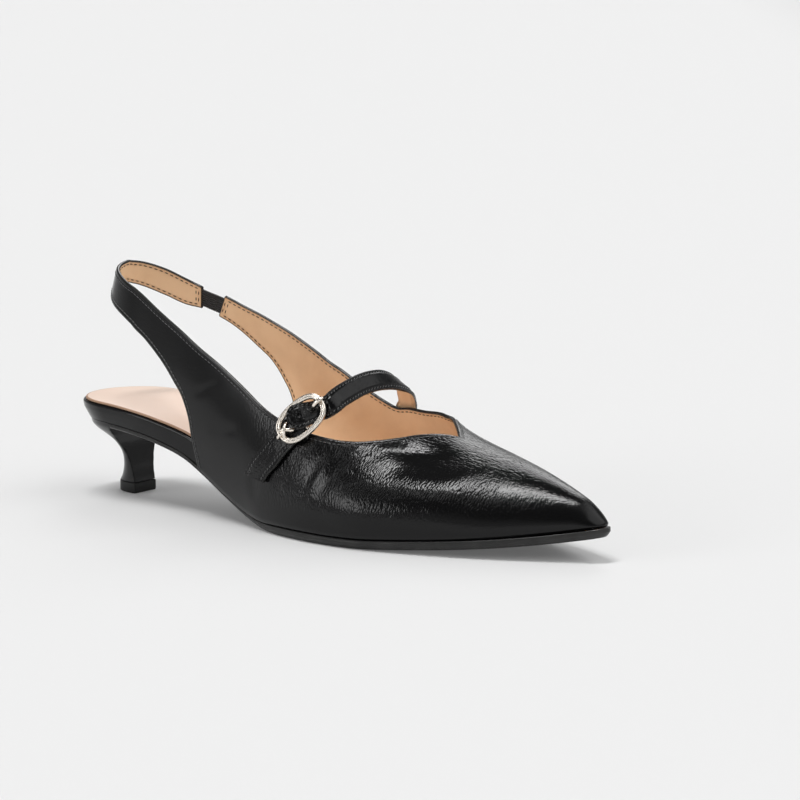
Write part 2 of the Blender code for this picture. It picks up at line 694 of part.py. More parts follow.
def make_ring(skin):
    """Oval wire with its bar across the middle."""
    middle, along, across, out = ring_frame()
    turn = np.linspace(0, 2 * np.pi, RING_POINTS, endpoint=False)[:, None]
    power = 2 / RING_POWER
    reach = np.sign(np.sin(turn)) * np.abs(np.sin(turn))**power * RING_LENGTH / 2
    width = np.sign(np.cos(turn)) * np.abs(np.cos(turn))**power * RING_WIDTH / 2
    points, faces = tube(middle + reach * along + width * across, RING_WIRE, out, closed=True)
    ring = solid("buckle_ring", points, faces, skin, sharp=60)
    ends = np.array([[-1.0], [0.0], [1.0]]) * RING_WIDTH / 2
    points, faces = tube(middle + ends * across - out * BAR_DROP, BAR_WIRE, out)
    bar = solid("buckle_bar_union", points, faces, skin, sharp=60)
    bar.hide_render = True
    bar.display_type = "WIRE"
    join = ring.modifiers.new("bar", "BOOLEAN")
    join.operation = "UNION"
    join.solver = "EXACT"
    join.object = bar
    return ring


def buckled_path():
    """Middle of the strap inside the buckle, from its far end to the tail's end."""
    middle, along, across, out = ring_frame()
    under = -(RING_WIRE + GAP + STRAP_WALL / 2)
    over = -BAR_DROP + BAR_WIRE + GAP + STRAP_WALL / 2
    rise = under + (over - under) * BUCKLED["rise"]
    beside = BUCKLED["beside"][:, None] * RING_WIDTH * across
    return middle + BUCKLED["along"][:, None] * RING_LENGTH * along + beside + rise[:, None] * out


def strap_path():
    """Middle line of the instep strap, its width's directions and what is left of it."""
    across = ring_frame()[2]
    share, girth = STRAP_ROOT["share"], STRAP_ROOT["girth"]
    root = last_point(1, share, girth) + (3 * GAP + STRAP_WALL / 2) * normal(1, share, girth)
    crest = np.column_stack([forward(STRAP["along"]), STRAP["across"] * BALL_WIDTH,
                             STRAP["height"] * INSTEP_HEIGHT])
    lean = np.radians(STRAP["lean"])
    turns = np.column_stack([np.cos(lean), 0 * lean, -np.sin(lean)])
    tail = buckled_path()
    points = np.concatenate([root, crest, tail])
    turns = np.concatenate([turns[[0] * len(root)], turns, np.broadcast_to(across, tail.shape)])
    steps = np.concatenate([[0], np.cumsum(np.linalg.norm(np.diff(points, axis=0), axis=1))])
    at = np.linspace(0, steps[-1], STRAP_STATIONS)
    across = np.column_stack([np.interp(at, steps, turns[:, k]) for k in range(3)])
    path = through(points, STRAP_STATIONS)
    run = unit(np.gradient(path, axis=0))
    return path, across - run * np.sum(across * run, axis=1)[:, None], steps[-1] - at


def make_strap(skin):
    """Instep strap from its root outside the inner quarter, through the buckle to its tail."""
    path, across, left = strap_path()
    left = np.clip(left / (STRAP_WIDTH / 2), 0.02, 1)
    width = STRAP_WIDTH * np.sqrt(1 - (1 - left)**2)
    return band("instep_strap", path, across, width, STRAP_WALL, skin)


def prong_path():
    """Middle line of the prong's tip."""
    middle, along, across, out = ring_frame()
    low = PRONG_WIRE - RING_WIRE
    high = RING_WIRE + GAP + PRONG_WIRE
    rise = low + (high - low) * PRONG["rise"]
    points = middle + PRONG["along"][:, None] * RING_LENGTH * along + rise[:, None] * out
    return through(points, PRONG_STATIONS), across


def make_prong(skin):
    """Prong's tip, from the strap over the ring's far end."""
    path, across = prong_path()
    points, faces = tube(path, PRONG_WIRE, across)
    return solid("buckle_prong", points, faces, skin, sharp=60)


def tab_path():
    """Middle line of the buckle's base strap and its width's directions."""
    middle, along, across, out = ring_frame()
    face = normal(-1, TAB["share"], TAB["girth"])
    on = last_point(-1, TAB["share"], TAB["girth"]) + (2 * GAP + TAB_WALL / 2) * face
    under = -(BAR_DROP + BAR_WIRE + GAP + TAB_WALL / 2)
    free = np.array([middle + along * RING_LENGTH * at + out * under for at in TAB_FREE])
    points = np.concatenate([on, free])
    turn = np.clip(TAB["turn"], 0, 1)[:, None]
    ways = np.array([1.0, 0.0, -TAB_SLANT]) * (1 - turn) + across * turn
    ways = ways - face * np.sum(ways * face, axis=1)[:, None]
    ways = unit(np.concatenate([ways, [across, across]]))
    steps = np.concatenate([[0], np.cumsum(np.linalg.norm(np.diff(points, axis=0), axis=1))])
    at = np.linspace(0, steps[-1], TAB_STATIONS)
    across = np.column_stack([np.interp(at, steps, ways[:, k]) for k in range(3)])
    return through(points, TAB_STATIONS), across


def make_tab(skin):
    """Base strap that lies on the outer quarter and ends under the buckle's bar."""
    path, across = tab_path()
    return band("buckle_tab", path, across, TAB_WIDTH, TAB_WALL, skin)


def build():
    """The whole shoe."""
    for old in list(bpy.data.objects):
        bpy.data.objects.remove(old, do_unlink=True)
    leather = material("black_leather", (0.012, 0.012, 0.013), 0.28)
    sole = material("black_sole", (0.016, 0.016, 0.016), 0.5)
    glossy = material("black_heel", (0.010, 0.010, 0.011), 0.25)
    wrap = material("black_wrap", (0.014, 0.014, 0.015), 0.35)
    sock = material("pale_sock", (0.84, 0.68, 0.58), 0.6)
    elastic = material("black_elastic", (0.02, 0.02, 0.02), 0.8)
    metal = material("pale_gold", (0.90, 0.83, 0.74), 0.2, 1.0)
    make_outsole(sole)
    make_platform(wrap)
    make_sock(sock)
    make_heel(glossy)
    make_heel_tip(sole)
    make_upper(leather)
    make_elastic(elastic)
    make_strap(leather)
    make_ring(metal)
    make_prong(metal)
    make_tab(leather)


build()
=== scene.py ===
import bpy
import numpy as np
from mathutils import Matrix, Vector


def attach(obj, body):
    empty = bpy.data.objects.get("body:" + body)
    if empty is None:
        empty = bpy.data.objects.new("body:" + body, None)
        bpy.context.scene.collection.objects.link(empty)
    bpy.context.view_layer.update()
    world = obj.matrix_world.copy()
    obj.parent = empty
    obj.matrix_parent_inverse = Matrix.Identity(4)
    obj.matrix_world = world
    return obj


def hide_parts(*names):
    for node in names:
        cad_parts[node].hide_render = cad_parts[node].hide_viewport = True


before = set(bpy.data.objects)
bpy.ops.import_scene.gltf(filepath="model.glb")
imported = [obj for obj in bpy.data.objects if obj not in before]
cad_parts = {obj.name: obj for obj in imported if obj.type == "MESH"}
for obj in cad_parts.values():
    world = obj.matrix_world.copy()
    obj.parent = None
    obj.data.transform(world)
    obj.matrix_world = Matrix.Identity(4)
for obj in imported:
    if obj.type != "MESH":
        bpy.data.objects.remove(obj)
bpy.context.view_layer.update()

# The shoe in metres: X runs to the toe, +Y is the inner side of the foot, Z is up.
shoe = {
    "length": 0.266, "heelBack": 0.0205, "ballWidth": 0.080, "instepHeight": 0.064,
    "seatHeight": 0.033, "toeSpring": 0.0104, "gap": 0.0003, "wall": 0.0016,
    "soleThick": 0.0037, "shankThick": 0.0020, "tuckGirth": 0.22,
    "toeRound": 0.0070, "noseRound": 0.0120, "seatRound": 0.0245,
    "loopAxis": 0.0194, "loopLowBack": 0.0055, "loopLow": 0.0900, "loopLean": 0.30,
    "loopShare": 0.13, "loopTaper": 0.12}


# Values held between 0 and 1.
def cut(values):
    return np.clip(values, 0, 1)


# The same with soft ends.
def eased(values):
    t = cut(values)
    return t**2 * (3 - 2 * t)


# The same directions with length 1.
def unit(vectors):
    vectors = np.asarray(vectors, dtype=float)
    return vectors / np.linalg.norm(vectors, axis=-1, keepdims=True)


# Length along a path at each of its points.
def reachOf(path):
    return np.concatenate([[0], np.cumsum(np.linalg.norm(np.diff(path, axis=0), axis=1))])


# Points taken at other places along their path.
def sampled(at, reach, rows):
    return np.column_stack([np.interp(at, reach, column) for column in rows.T])


# A table of sections: one array for each named column.
def table(names, rows):
    return dict(zip(names.split(), np.array(rows, dtype=float).T))


# Cubic curve through rows of values ys at the places xs, held at its ends.
def cubic(xs, ys, at):
    at = np.clip(at, xs[0], xs[-1])
    slopes = np.gradient(ys, xs, axis=0)
    i = np.clip(np.searchsorted(xs, at, side="right") - 1, 0, len(xs) - 2)
    deep = np.shape(at) + (1,) * (ys.ndim - 1)
    step = np.reshape(xs[i + 1] - xs[i], deep)
    t = np.reshape(at - xs[i], deep) / step
    start = ys[i] * (2 * t**3 - 3 * t**2 + 1) + ys[i + 1] * (3 * t**2 - 2 * t**3)
    bend = slopes[i] * (t**3 - 2 * t**2 + t) + slopes[i + 1] * (t**3 - t**2)
    return start + step * bend


# Smooth curve through one column of a table.
def curve(tab, name, at, over="share"):
    return cubic(tab[over], tab[name], at)


# Sole line along the shoe. Height of the tread is a share of the seat height behind the ball
# and of the toe spring before it, thick runs from the shank (0) to the full sole (1).
soleTable = table("share seat spring thick", [
    [0, 0.94, 0, 0],
    [0.1, 0.924, 0, 0],
    [0.15, 0.888, 0, 0],
    [0.2, 0.82, 0, 0],
    [0.26, 0.672, 0, 0],
    [0.3, 0.5, 0, 0],
    [0.35, 0.282, 0, 0],
    [0.4, 0.112, 0, 0.05],
    [0.45, 0.02, 0, 0.55],
    [0.48, 0, 0, 0.9],
    [0.52, 0, 0, 1],
    [0.6, 0, 0, 1],
    [0.66, 0, 0.02, 1],
    [0.72, 0, 0.12, 1],
    [0.8, 0, 0.28, 1],
    [0.87, 0, 0.47, 1],
    [0.93, 0, 0.68, 1],
    [0.97, 0, 0.85, 1],
    [1, 0, 1, 1]])

# Last along the shoe. Half widths are shares of the ball's width, out is the outer side of the
# foot and in the inner one: at the sole's seam and at the fullest height. The ridge and
# its shift towards the inner side are shares of the instep height and the ball's width.
lastTable = table("share seamOut seamIn sideOut sideIn ridge shift", [
    [0, 0.305, 0.305, 0.305, 0.305, 2.34, 0],
    [0.1, 0.306, 0.305, 0.306, 0.306, 2.34, 0],
    [0.15, 0.322, 0.302, 0.312, 0.312, 2.34, 0],
    [0.2, 0.329, 0.291, 0.342, 0.342, 2.32, 0.01],
    [0.3, 0.332, 0.27, 0.398, 0.398, 2.18, 0.035],
    [0.4, 0.388, 0.28, 0.446, 0.422, 1.74, 0.062],
    [0.45, 0.445, 0.318, 0.478, 0.43, 1.46, 0.074],
    [0.5, 0.491, 0.369, 0.508, 0.44, 1.25, 0.082],
    [0.58, 0.526, 0.438, 0.538, 0.463, 0.992, 0.086],
    [0.65, 0.512, 0.462, 0.526, 0.479, 0.806, 0.081],
    [0.69, 0.482, 0.455, 0.496, 0.468, 0.708, 0.074],
    [0.72, 0.458, 0.438, 0.47, 0.45, 0.66, 0.068],
    [0.75, 0.426, 0.408, 0.438, 0.42, 0.626, 0.061],
    [0.8, 0.371, 0.344, 0.384, 0.356, 0.58, 0.047],
    [0.87, 0.269, 0.246, 0.281, 0.256, 0.508, 0.027],
    [0.93, 0.162, 0.154, 0.174, 0.163, 0.426, 0.012],
    [0.97, 0.091, 0.088, 0.1, 0.096, 0.36, 0.004],
    [1, 0.062, 0.058, 0.068, 0.064, 0.297, 0]])


# X of a station.
def forward(share):
    return share * shoe["length"] - shoe["heelBack"]


# Station of an X.
def shareAt(x):
    return (x + shoe["heelBack"]) / shoe["length"]


# Height of the underside of the sole.
def tread(share):
    seat = curve(soleTable, "seat", share) * shoe["seatHeight"]
    return np.maximum(seat + curve(soleTable, "spring", share) * shoe["toeSpring"], 0)


# Height of the seam on top of the sole.
def seam(share):
    more = curve(soleTable, "thick", share) * (shoe["soleThick"] - shoe["shankThick"])
    return tread(share) + (shoe["shankThick"] + more)


# Factor that rounds a width or height down to nothing at the toe.
def roundOff(share, length):
    t = cut(1 - (1 - share) * shoe["length"] / length)
    return np.sqrt(1 - t**2)


# Half width at the seam, side is -1 on the outer side and 1 on the inner.
def seamWidth(side, share, end=1.0):
    width = curve(lastTable, "seamOut" if side < 0 else "seamIn", share) * shoe["ballWidth"]
    return width * roundOff(share + 1 - end, shoe["toeRound"])


# Y and Z on the last, between the seam (girth 0) and the ridge (girth 1).
def section(side, share, girth):
    turn = girth * np.pi / 2
    name = "sideOut" if side < 0 else "sideIn"
    full = curve(lastTable, name, share) * shoe["ballWidth"]
    full = full * roundOff(share, shoe["toeRound"])
    shift = curve(lastTable, "shift", share) * shoe["ballWidth"] * side
    tuck = (full - seamWidth(side, share)) * cut(1 - girth / shoe["tuckGirth"])**2
    foot = seam(share) + shoe["gap"]
    height = curve(lastTable, "ridge", share) * shoe["instepHeight"] - foot
    height = height * roundOff(share, shoe["noseRound"])
    y = shift + (full - shift) * np.cos(turn) - tuck
    return side * y, foot + height * np.sin(turn)


# Point on the last. Stations behind the loop's axis turn round the back.
def lastPoint(side, share, girth):
    axis = shareAt(shoe["loopAxis"])
    turn = cut((axis - share) / shoe["loopShare"]) * np.pi / 2
    y, z = section(side, np.maximum(share, axis), girth)
    reach = shoe["loopAxis"] + shoe["loopLowBack"] - (z - shoe["loopLow"]) * shoe["loopLean"]
    x = np.where(share > axis, forward(share), shoe["loopAxis"] - reach * np.sin(turn))
    y = y * np.cos(turn) * (1 - shoe["loopTaper"] * np.sin(turn))
    return np.stack([x, y, z], axis=-1)


# Steps for the last's directions, as shares of its length, and the stations they hold for.
normals = {"step": 0.001, "first": 0.022, "last": 0.994, "tip": 0.985, "outlineStep": 0.0004}


# Outward direction of the last, straight ahead at the tip of the toe.
def lastNormal(side, share, girth):
    d = normals["step"]
    near = np.clip(share, normals["first"], normals["last"])
    upper = np.clip(girth + d, 2 * d, 1)
    along = lastPoint(side, near + d, girth) - lastPoint(side, near - d, girth)
    up = lastPoint(side, near, upper) - lastPoint(side, near, upper - 2 * d)
    out = unit(np.cross(up, along)) * side
    tip = cut((np.asarray(share) - normals["tip"]) / (1 - normals["tip"]))[..., None]
    return unit(out * (1 - tip) + np.array([1.0, 0.0, 0.0]) * tip)


# Points of the seam's outline in plan, drawn in by inset.
def outline(side, share, inset, end=1.0):
    def edge(at):
        back = cut(1 - at * shoe["length"] / shoe["seatRound"])
        width = seamWidth(side, at, end) * np.sqrt(1 - back**2)
        return np.stack([forward(at), side * width], axis=-1)
    d = normals["outlineStep"]
    along = unit(edge(np.minimum(share + d, end)) - edge(np.maximum(share - d, 0)))
    out = np.stack([-along[:, 1], along[:, 0]], axis=-1) * side
    out[share <= 0] = (-1, 0)
    out[share >= end] = (1, 0)
    return edge(share) - out * np.broadcast_to(inset, share.shape)[:, None]


# Smooth path of count points through a few chosen ones, evenly spaced.
def through(points, count):
    points = np.asarray(points, dtype=float)
    reach = reachOf(points)
    return cubic(reach, points, np.linspace(0, reach[-1], count))


# Steps from 0 to 1 for a row of stations, closer together at the ends asked for.
def bunched(count, start, end):
    t = np.linspace(0, 1, count)
    waved = (1 - np.cos(np.pi * t)) / 2
    return t + (waved - t) * ((1 - t) * start + t * end)


# Meshes

# Points in one cell of this grid are welded.
weldGrid = 2e-7


# A mesh piece that rides on the shoe. parts is a list of (faces, skin index); a row of four
# point numbers is a face, and repeats in it are dropped. Points in one place are welded.
# marks are numbers kept on the points for the materials.
def makePiece(name, points, parts, skins, marks=None, replaced=(), slot=None, sharp=None):
    points = np.asarray(points, dtype=float).reshape(-1, 3)
    key = np.round(points / weldGrid).astype(np.int64)
    _, first, index = np.unique(key, axis=0, return_index=True, return_inverse=True)
    index = index.reshape(-1)
    faces, skinOf = [], []
    for rows, skin in parts:
        if isinstance(rows, np.ndarray):
            rows = index[rows]
            same = rows == np.roll(rows, 1, axis=1)
            crossed = (rows[:, 0] == rows[:, 2]) | (rows[:, 1] == rows[:, 3])
            whole = rows[~same.any(axis=1) & ~crossed]
            short = (same.sum(axis=1) == 1) & ~crossed
            corners = rows[short][~same[short]].reshape(-1, 3)
            fresh = whole.tolist() + corners.tolist()
        else:
            fresh = [list(dict.fromkeys(index[np.array(row)].tolist())) for row in rows]
        faces += fresh
        skinOf += [skin] * len(fresh)
    mesh = bpy.data.meshes.new(name)
    mesh.from_pydata(points[first].tolist(), [], faces)
    mesh.polygons.foreach_set("material_index", skinOf)
    mesh.polygons.foreach_set("use_smooth", [True] * len(faces))
    for mark, values in (marks or {}).items():
        layer = mesh.attributes.new(mark, "FLOAT", "POINT")
        layer.data.foreach_set("value", np.asarray(values, dtype=np.float32).reshape(-1)[first])
    if sharp is not None:
        mesh.set_sharp_from_angle(angle=np.radians(sharp))
    for skin in skins:
        mesh.materials.append(skin.material)
    mesh.update()
    made = bpy.data.objects.new(name, mesh)
    bpy.context.scene.collection.objects.link(made)
    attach(made, "root")
    if replaced:
        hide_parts(*replaced)


# Quads of a rows by columns grid, each way closed or open. flip turns the faces round.
def gridFaces(rows, columns, closedRows=False, closedColumns=False, flip=False, start=0):
    i = np.arange(rows if closedRows else rows - 1)[:, None]
    j = np.arange(columns if closedColumns else columns - 1)[None, :]
    below, beside = (i + 1) % rows, (j + 1) % columns
    quads = np.stack([i * columns + j, below * columns + j, below * columns + beside,
                      i * columns + beside], axis=-1).reshape(-1, 4) + start
    return quads[:, ::-1] if flip else quads


# Faces turned to look away from the middles of their points.
def outward(points, faces, middles):
    a, b, c = [points[faces[:, k]] for k in range(3)]
    swirl = np.sum(np.cross(b - a, c - a) * (a - middles[faces[:, 0]]))
    return faces[:, ::-1] if swirl < 0 else faces


# A wall between two like sheets, closed along each free edge by a half round rim of so many
# steps. The rim stands out by bulge times half the wall. Returns points, front, rim, back.
def closeShell(front, back, faces, steps=3, bulge=0.8):
    count = len(front)
    a, b = faces.reshape(-1), np.roll(faces, -1, axis=1).reshape(-1)
    real = a != b
    a, b = a[real], b[real]
    free = ~np.isin(a * count + b, b * count + a)
    a, b = a[free], b[free]
    half = (front - back) / 2
    out = unit(np.where(np.linalg.norm(half, axis=1, keepdims=True) > 0, half, 1e-9))
    side = np.cross(front[b] - front[a], out[a] + out[b])
    away = np.zeros_like(front)
    np.add.at(away, a, side)
    np.add.at(away, b, side)
    rim = np.unique(np.concatenate([a, b]))
    away = unit(away[rim]) * np.linalg.norm(half[rim], axis=1, keepdims=True) * bulge
    turn = (np.pi * np.arange(1, steps + 1) / (steps + 1))[:, None, None]
    arc = (front[rim] + back[rim]) / 2 + half[rim] * np.cos(turn) + away * np.sin(turn)
    place = np.zeros(count, dtype=int)
    place[rim] = np.arange(len(rim))
    chain = [np.arange(count)] + [2 * count + k * len(rim) + place for k in range(steps)]
    chain.append(np.arange(count) + count)
    strips = [np.stack([chain[k][b], chain[k][a], chain[k + 1][a], chain[k + 1][b]], axis=1)
              for k in range(steps + 1)]
    points = np.concatenate([front, back, arc.reshape(-1, 3)])
    origin = np.concatenate([np.arange(count), np.arange(count), np.tile(rim, steps)])
    return points, np.concatenate(strips), faces[:, ::-1] + count, origin


# A closed loop resampled to count even points, its corners turned with about that radius.
def roundLoop(loop, count, radius):
    closed = np.concatenate([loop, loop[:1]])
    reach = reachOf(closed)
    at = np.linspace(0, reach[-1], count, endpoint=False)
    even = sampled(at, reach, closed)
    for _ in range(int(round(2 * (0.6 * radius * count / reach[-1])**2))):
        even = (np.roll(even, 1, axis=0) + 2 * even + np.roll(even, -1, axis=0)) / 4
    return even


# A body lofted through like loops, each end closed by one face.
def loftPiece(name, loops, skins, **more):
    loops = np.asarray(loops)
    rows, columns = loops.shape[:2]
    side = gridFaces(rows, columns, closedColumns=True, flip=True)
    ends = [list(range(columns)), list(range((rows - 1) * columns, rows * columns))[::-1]]
    points = loops.reshape(-1, 3)
    a, b, c = [points[side[:, k]] for k in range(3)]
    if np.sum(a * np.cross(b, c)) < 0:
        side, ends = side[:, ::-1], [end[::-1] for end in ends]
    makePiece(name, points, [(side, 0), (ends, 0)], skins, **more)


# Directions of a path: along it, across it next to the given one, and over both.
def pathFrame(path, beside, closed=False):
    along = unit(np.gradient(path, axis=0))
    if closed:
        along = unit(np.roll(path, -1, axis=0) - np.roll(path, 1, axis=0))
    beside = np.broadcast_to(beside, path.shape)
    across = unit(beside - along * np.sum(beside * along, axis=1)[:, None])
    return along, across, unit(np.cross(along, across))


# A round wire along a path. radius is a value, a row for the path, or a grid of them.
def wireLoops(path, radius, beside, closed=False, around=20):
    _, across, over = pathFrame(path, beside, closed)
    angle = np.linspace(0, 2 * np.pi, around, endpoint=False)
    radius = np.asarray(radius, dtype=float)
    radius = radius[:, None] if radius.ndim == 1 else radius
    reach = np.broadcast_to(radius, (len(path), around))[:, :, None]
    turn = angle[None, :, None]
    return path[:, None] + reach * (np.cos(turn) * across[:, None] + np.sin(turn) * over[:, None])


# Stitches of one length set at an even pitch along paths that lie on a surface. Each is a
# small grain: a ball stretched along the path, sunk at its ends and flattened.
def stitchPiece(name, rows, size, skin, **more):
    sides = 6
    turn = np.linspace(0, np.pi, sides)[:, None]
    lift = np.linspace(0, 2 * np.pi, sides, endpoint=False)
    grain = np.stack([-np.cos(turn) + 0 * lift, np.sin(turn) * np.cos(lift),
                      np.sin(turn) * np.sin(lift)], axis=-1).reshape(-1, 3)
    grain *= np.array([size["length"], size["thick"], size["thick"]]) / 2
    body = gridFaces(sides, sides, closedColumns=True)
    points, faces, total = [], [], 0
    for path, out in rows:
        reach = reachOf(path)
        count = max(int(reach[-1] / size["pitch"]), 1)
        at = (np.arange(count) + 0.5) * reach[-1] / count
        middle = sampled(at, reach, path)
        up = unit(sampled(at, reach, out))
        ways = np.gradient(path, reach, axis=0)
        along = unit(sampled(at, reach, ways))
        across = unit(np.cross(up, along))
        along = unit(along + across * size.get("slant", 0.0))
        across = np.cross(up, along)
        frames = np.stack([along, across, up], axis=1)
        points.append((middle[:, None] + grain @ frames).reshape(-1, 3))
        numbers = (np.arange(count) * len(grain))[:, None, None] + body[None] + total
        faces.append(numbers.reshape(-1, 4))
        total += count * len(grain)
    makePiece(name, np.concatenate(points), [(np.concatenate(faces), 0)], [skin], **more)


# Materials

# A number or colour on its way through a material. Its operators add Math nodes.
class Wire:
    def __init__(self, skin, socket):
        self.skin, self.socket = skin, socket

    def __add__(self, other):
        return self.skin.math("ADD", self, other)

    def __sub__(self, other):
        return self.skin.math("SUBTRACT", self, other)

    def __rsub__(self, other):
        return self.skin.math("SUBTRACT", other, self)

    def __mul__(self, other):
        return self.skin.math("MULTIPLY", self, other)

    def __truediv__(self, other):
        return self.skin.math("DIVIDE", self, other)

    def __abs__(self):
        return self.skin.math("ABSOLUTE", self)

    __radd__ = __add__
    __rmul__ = __mul__


# A material whose Principled shader starts with the fixed values given.
class Skin:
    def __init__(self, name, fixed, tree=None):
        if tree is None:
            self.material = bpy.data.materials.new(name)
            self.material.use_nodes = True
            tree = self.material.node_tree
            self.shader = tree.nodes["Principled BSDF"]
            for socket, value in fixed.items():
                self.shader.inputs[socket].default_value = value
        self.tree = tree

    def node(self, kind, settings=None, inputs=None, out=0):
        made = self.tree.nodes.new(kind)
        for key, value in (settings or {}).items():
            setattr(made, key, value)
        for key, value in (inputs or {}).items():
            self.plug(made.inputs[key], value)
        return Wire(self, made.outputs[out])

    def plug(self, socket, value):
        if isinstance(value, Wire):
            self.tree.links.new(value.socket, socket)
        else:
            socket.default_value = value

    def math(self, kind, *values):
        return self.node("ShaderNodeMath", {"operation": kind}, dict(enumerate(values)))

    def feed(self, name, value):
        self.plug(self.shader.inputs[name], value)

    def place(self):
        return self.node("ShaderNodeTexCoord", out="Object")

    def scaled(self, vector, scale):
        return self.node("ShaderNodeMapping", inputs={"Vector": vector, "Scale": scale})

    def dot(self, vector, way):
        return self.node("ShaderNodeVectorMath", {"operation": "DOT_PRODUCT"},
                         {0: vector, 1: tuple(way)}, out="Value")

    def mark(self, name):
        return self.node("ShaderNodeAttribute", {"attribute_name": name}, out="Fac")

    def noise(self, vector, scale, detail=2.0, rough=0.5, out=0):
        return self.node("ShaderNodeTexNoise", out=out, inputs={
            "Vector": vector, "Scale": scale, "Detail": detail, "Roughness": rough})

    def cells(self, vector, scale):
        return self.node("ShaderNodeTexVoronoi", inputs={"Vector": vector, "Scale": scale},
                         out="Distance")

    def ease(self, value, low, high):
        return self.node("ShaderNodeMapRange", {"interpolation_type": "SMOOTHSTEP"},
                         {"Value": value, "From Min": low, "From Max": high})

    # 1 under the low value and 0 over the high one.
    def under(self, value, low, high):
        return 1 - self.ease(value, low, high)

    # A colour between two, by a value from 0 to 1.
    def tint(self, share, first, second):
        def full(colour):
            return colour if isinstance(colour, Wire) else (*colour, 1)
        return self.node("ShaderNodeMix", {"data_type": "RGBA"},
                         {0: share, 6: full(first), 7: full(second)}, out=2)

    # Normals from one height in metres over another.
    def bumps(self, *heights):
        over = None
        for height in heights:
            inputs = {"Strength": 1.0, "Distance": 1.0, "Height": height}
            if over is not None:
                inputs["Normal"] = over
            over = self.node("ShaderNodeBump", inputs=inputs)
        self.feed("Normal", over)


# Glossy black leather of the upper and straps. The crinkle follows two ways: round the
# foot low on the sides and lengthwise near the ridge. hem is the distance to a cut edge.
leather = {
    "colour": (0.0035, 0.0035, 0.0037),
    # cut is a lighter colour for the last half millimetre of each edge and the whole rim: a painted
    # highlight on the rounded edge.
    "grooveShade": (0.003, 0.003, 0.003), "cut": (0.030, 0.029, 0.028),
    "crinkle": 0.00013, "pores": 0.000014, "hemLine": 0.0011, "hemDepth": 0.00012,
    "drift": 0.0030, "driftScale": 170.0, "poreScale": 1500.0,
    "roundWay": (1.0, 0.42, 0.42), "roundScale": 1350.0,
    "longWay": (0.38, 1.0, 1.0), "longScale": 1250.0}


def blackLeather(name, crinkle=1.0, rough=0.13):
    skin = Skin(name, {"Roughness": rough, "IOR": 1.42, "Specular IOR Level": 0.35})
    here = skin.place()
    drift = skin.noise(here, leather["driftScale"], 1.0, out="Color")
    drift = skin.node("ShaderNodeVectorMath", {"operation": "SCALE"},
                      {0: drift, "Scale": leather["drift"]})
    bent = skin.node("ShaderNodeVectorMath", {"operation": "ADD"}, {0: here, 1: drift})
    cushions = []
    for way in ("round", "long"):
        cell = skin.cells(skin.scaled(bent, leather[way + "Way"]), leather[way + "Scale"])
        cushions.append(1 - cell * cell)
    upright, level = cushions
    high = skin.mark("crest")
    folds = upright * (1 - high) + level * high
    patches = skin.ease(skin.noise(here, 42.0), 0.30, 0.68)
    amount = skin.mark("crinkled") * crinkle
    relief = folds * amount * (0.45 + patches * 0.75) * leather["crinkle"]
    hem = skin.mark("hem")
    groove = skin.under(abs(hem - leather["hemLine"]), 0.00008, 0.00042)
    # The colour darkens along the groove near each edge: painted shade in the groove.
    paint = skin.tint(groove * 0.6, leather["colour"], leather["grooveShade"])
    # Near each edge and on the rim the colour turns lighter: a painted highlight.
    skin.feed("Base Color", skin.tint(skin.under(hem, 0.0, 0.00055) * 0.55, paint, leather["cut"]))
    skin.feed("Roughness", rough + patches * 0.05 + skin.noise(here, 900.0) * 0.04)
    skin.bumps(relief - groove * leather["hemDepth"],
               skin.cells(here, leather["poreScale"]) * leather["pores"])
    return skin


# Smooth black of the wrapped platform, heel and sole.
def smoothBlack(name, colour, rough, coat, grain=0.00002):
    skin = Skin(name, {"IOR": 1.45, "Specular IOR Level": 0.30, "Coat Roughness": 0.10})
    here = skin.place()
    cloud = skin.noise(here, 120.0, 3.0)
    worn = tuple(2 * c for c in colour)
    skin.feed("Base Color", skin.tint(skin.ease(cloud, 0.4, 0.75) * 0.5, colour, worn))
    skin.feed("Roughness", rough + cloud * 0.10)
    skin.feed("Coat Weight", coat + cloud * 0.1)
    skin.bumps(skin.noise(here, 1300.0, 3.0) * grain, skin.noise(here, 75.0) * grain * 6)
    return skin


# Tan lining, darker along its edges and a little uneven. line is where its seam lies.
lining = {"colour": (0.92, 0.65, 0.41), "deep": (0.74, 0.46, 0.25), "edge": (0.30, 0.15, 0.07),
          "line": 0.0010, "grain": 0.00003, "groove": 0.00018, "waves": 0.00006}


def tanLining(name):
    skin = Skin(name, {"IOR": 1.45, "Specular IOR Level": 0.35})
    here, hem = skin.place(), skin.mark("hem")
    cloud = skin.noise(here, 70.0, 4.0, 0.6)
    paint = skin.tint(skin.ease(cloud, 0.35, 0.75) * 0.35, lining["colour"], lining["deep"])
    paint = skin.tint(skin.under(hem, 0.0001, 0.0005) * 0.6, paint, lining["edge"])
    away = abs(hem - lining["line"])
    seamShade = skin.under(away, 0.0001, 0.0006) * 0.4
    skin.feed("Base Color", skin.tint(seamShade, paint, lining["deep"]))
    skin.feed("Roughness", 0.50 + cloud * 0.18)
    skin.bumps(skin.cells(here, 1400.0) * lining["grain"]
               - skin.under(away, 0.0001, 0.0007) * lining["groove"],
               skin.noise(here, 260.0, 3.0) * lining["waves"])
    return skin


# Pale leather of the sock with a tan cut edge and faint long pull marks.
pale = {"colour": (0.80, 0.635, 0.535), "deep": (0.73, 0.55, 0.44), "edge": (0.30, 0.16, 0.085),
        "pull": (0.15, 1.0, 1.0), "streaks": 0.00005, "grain": 0.00003}


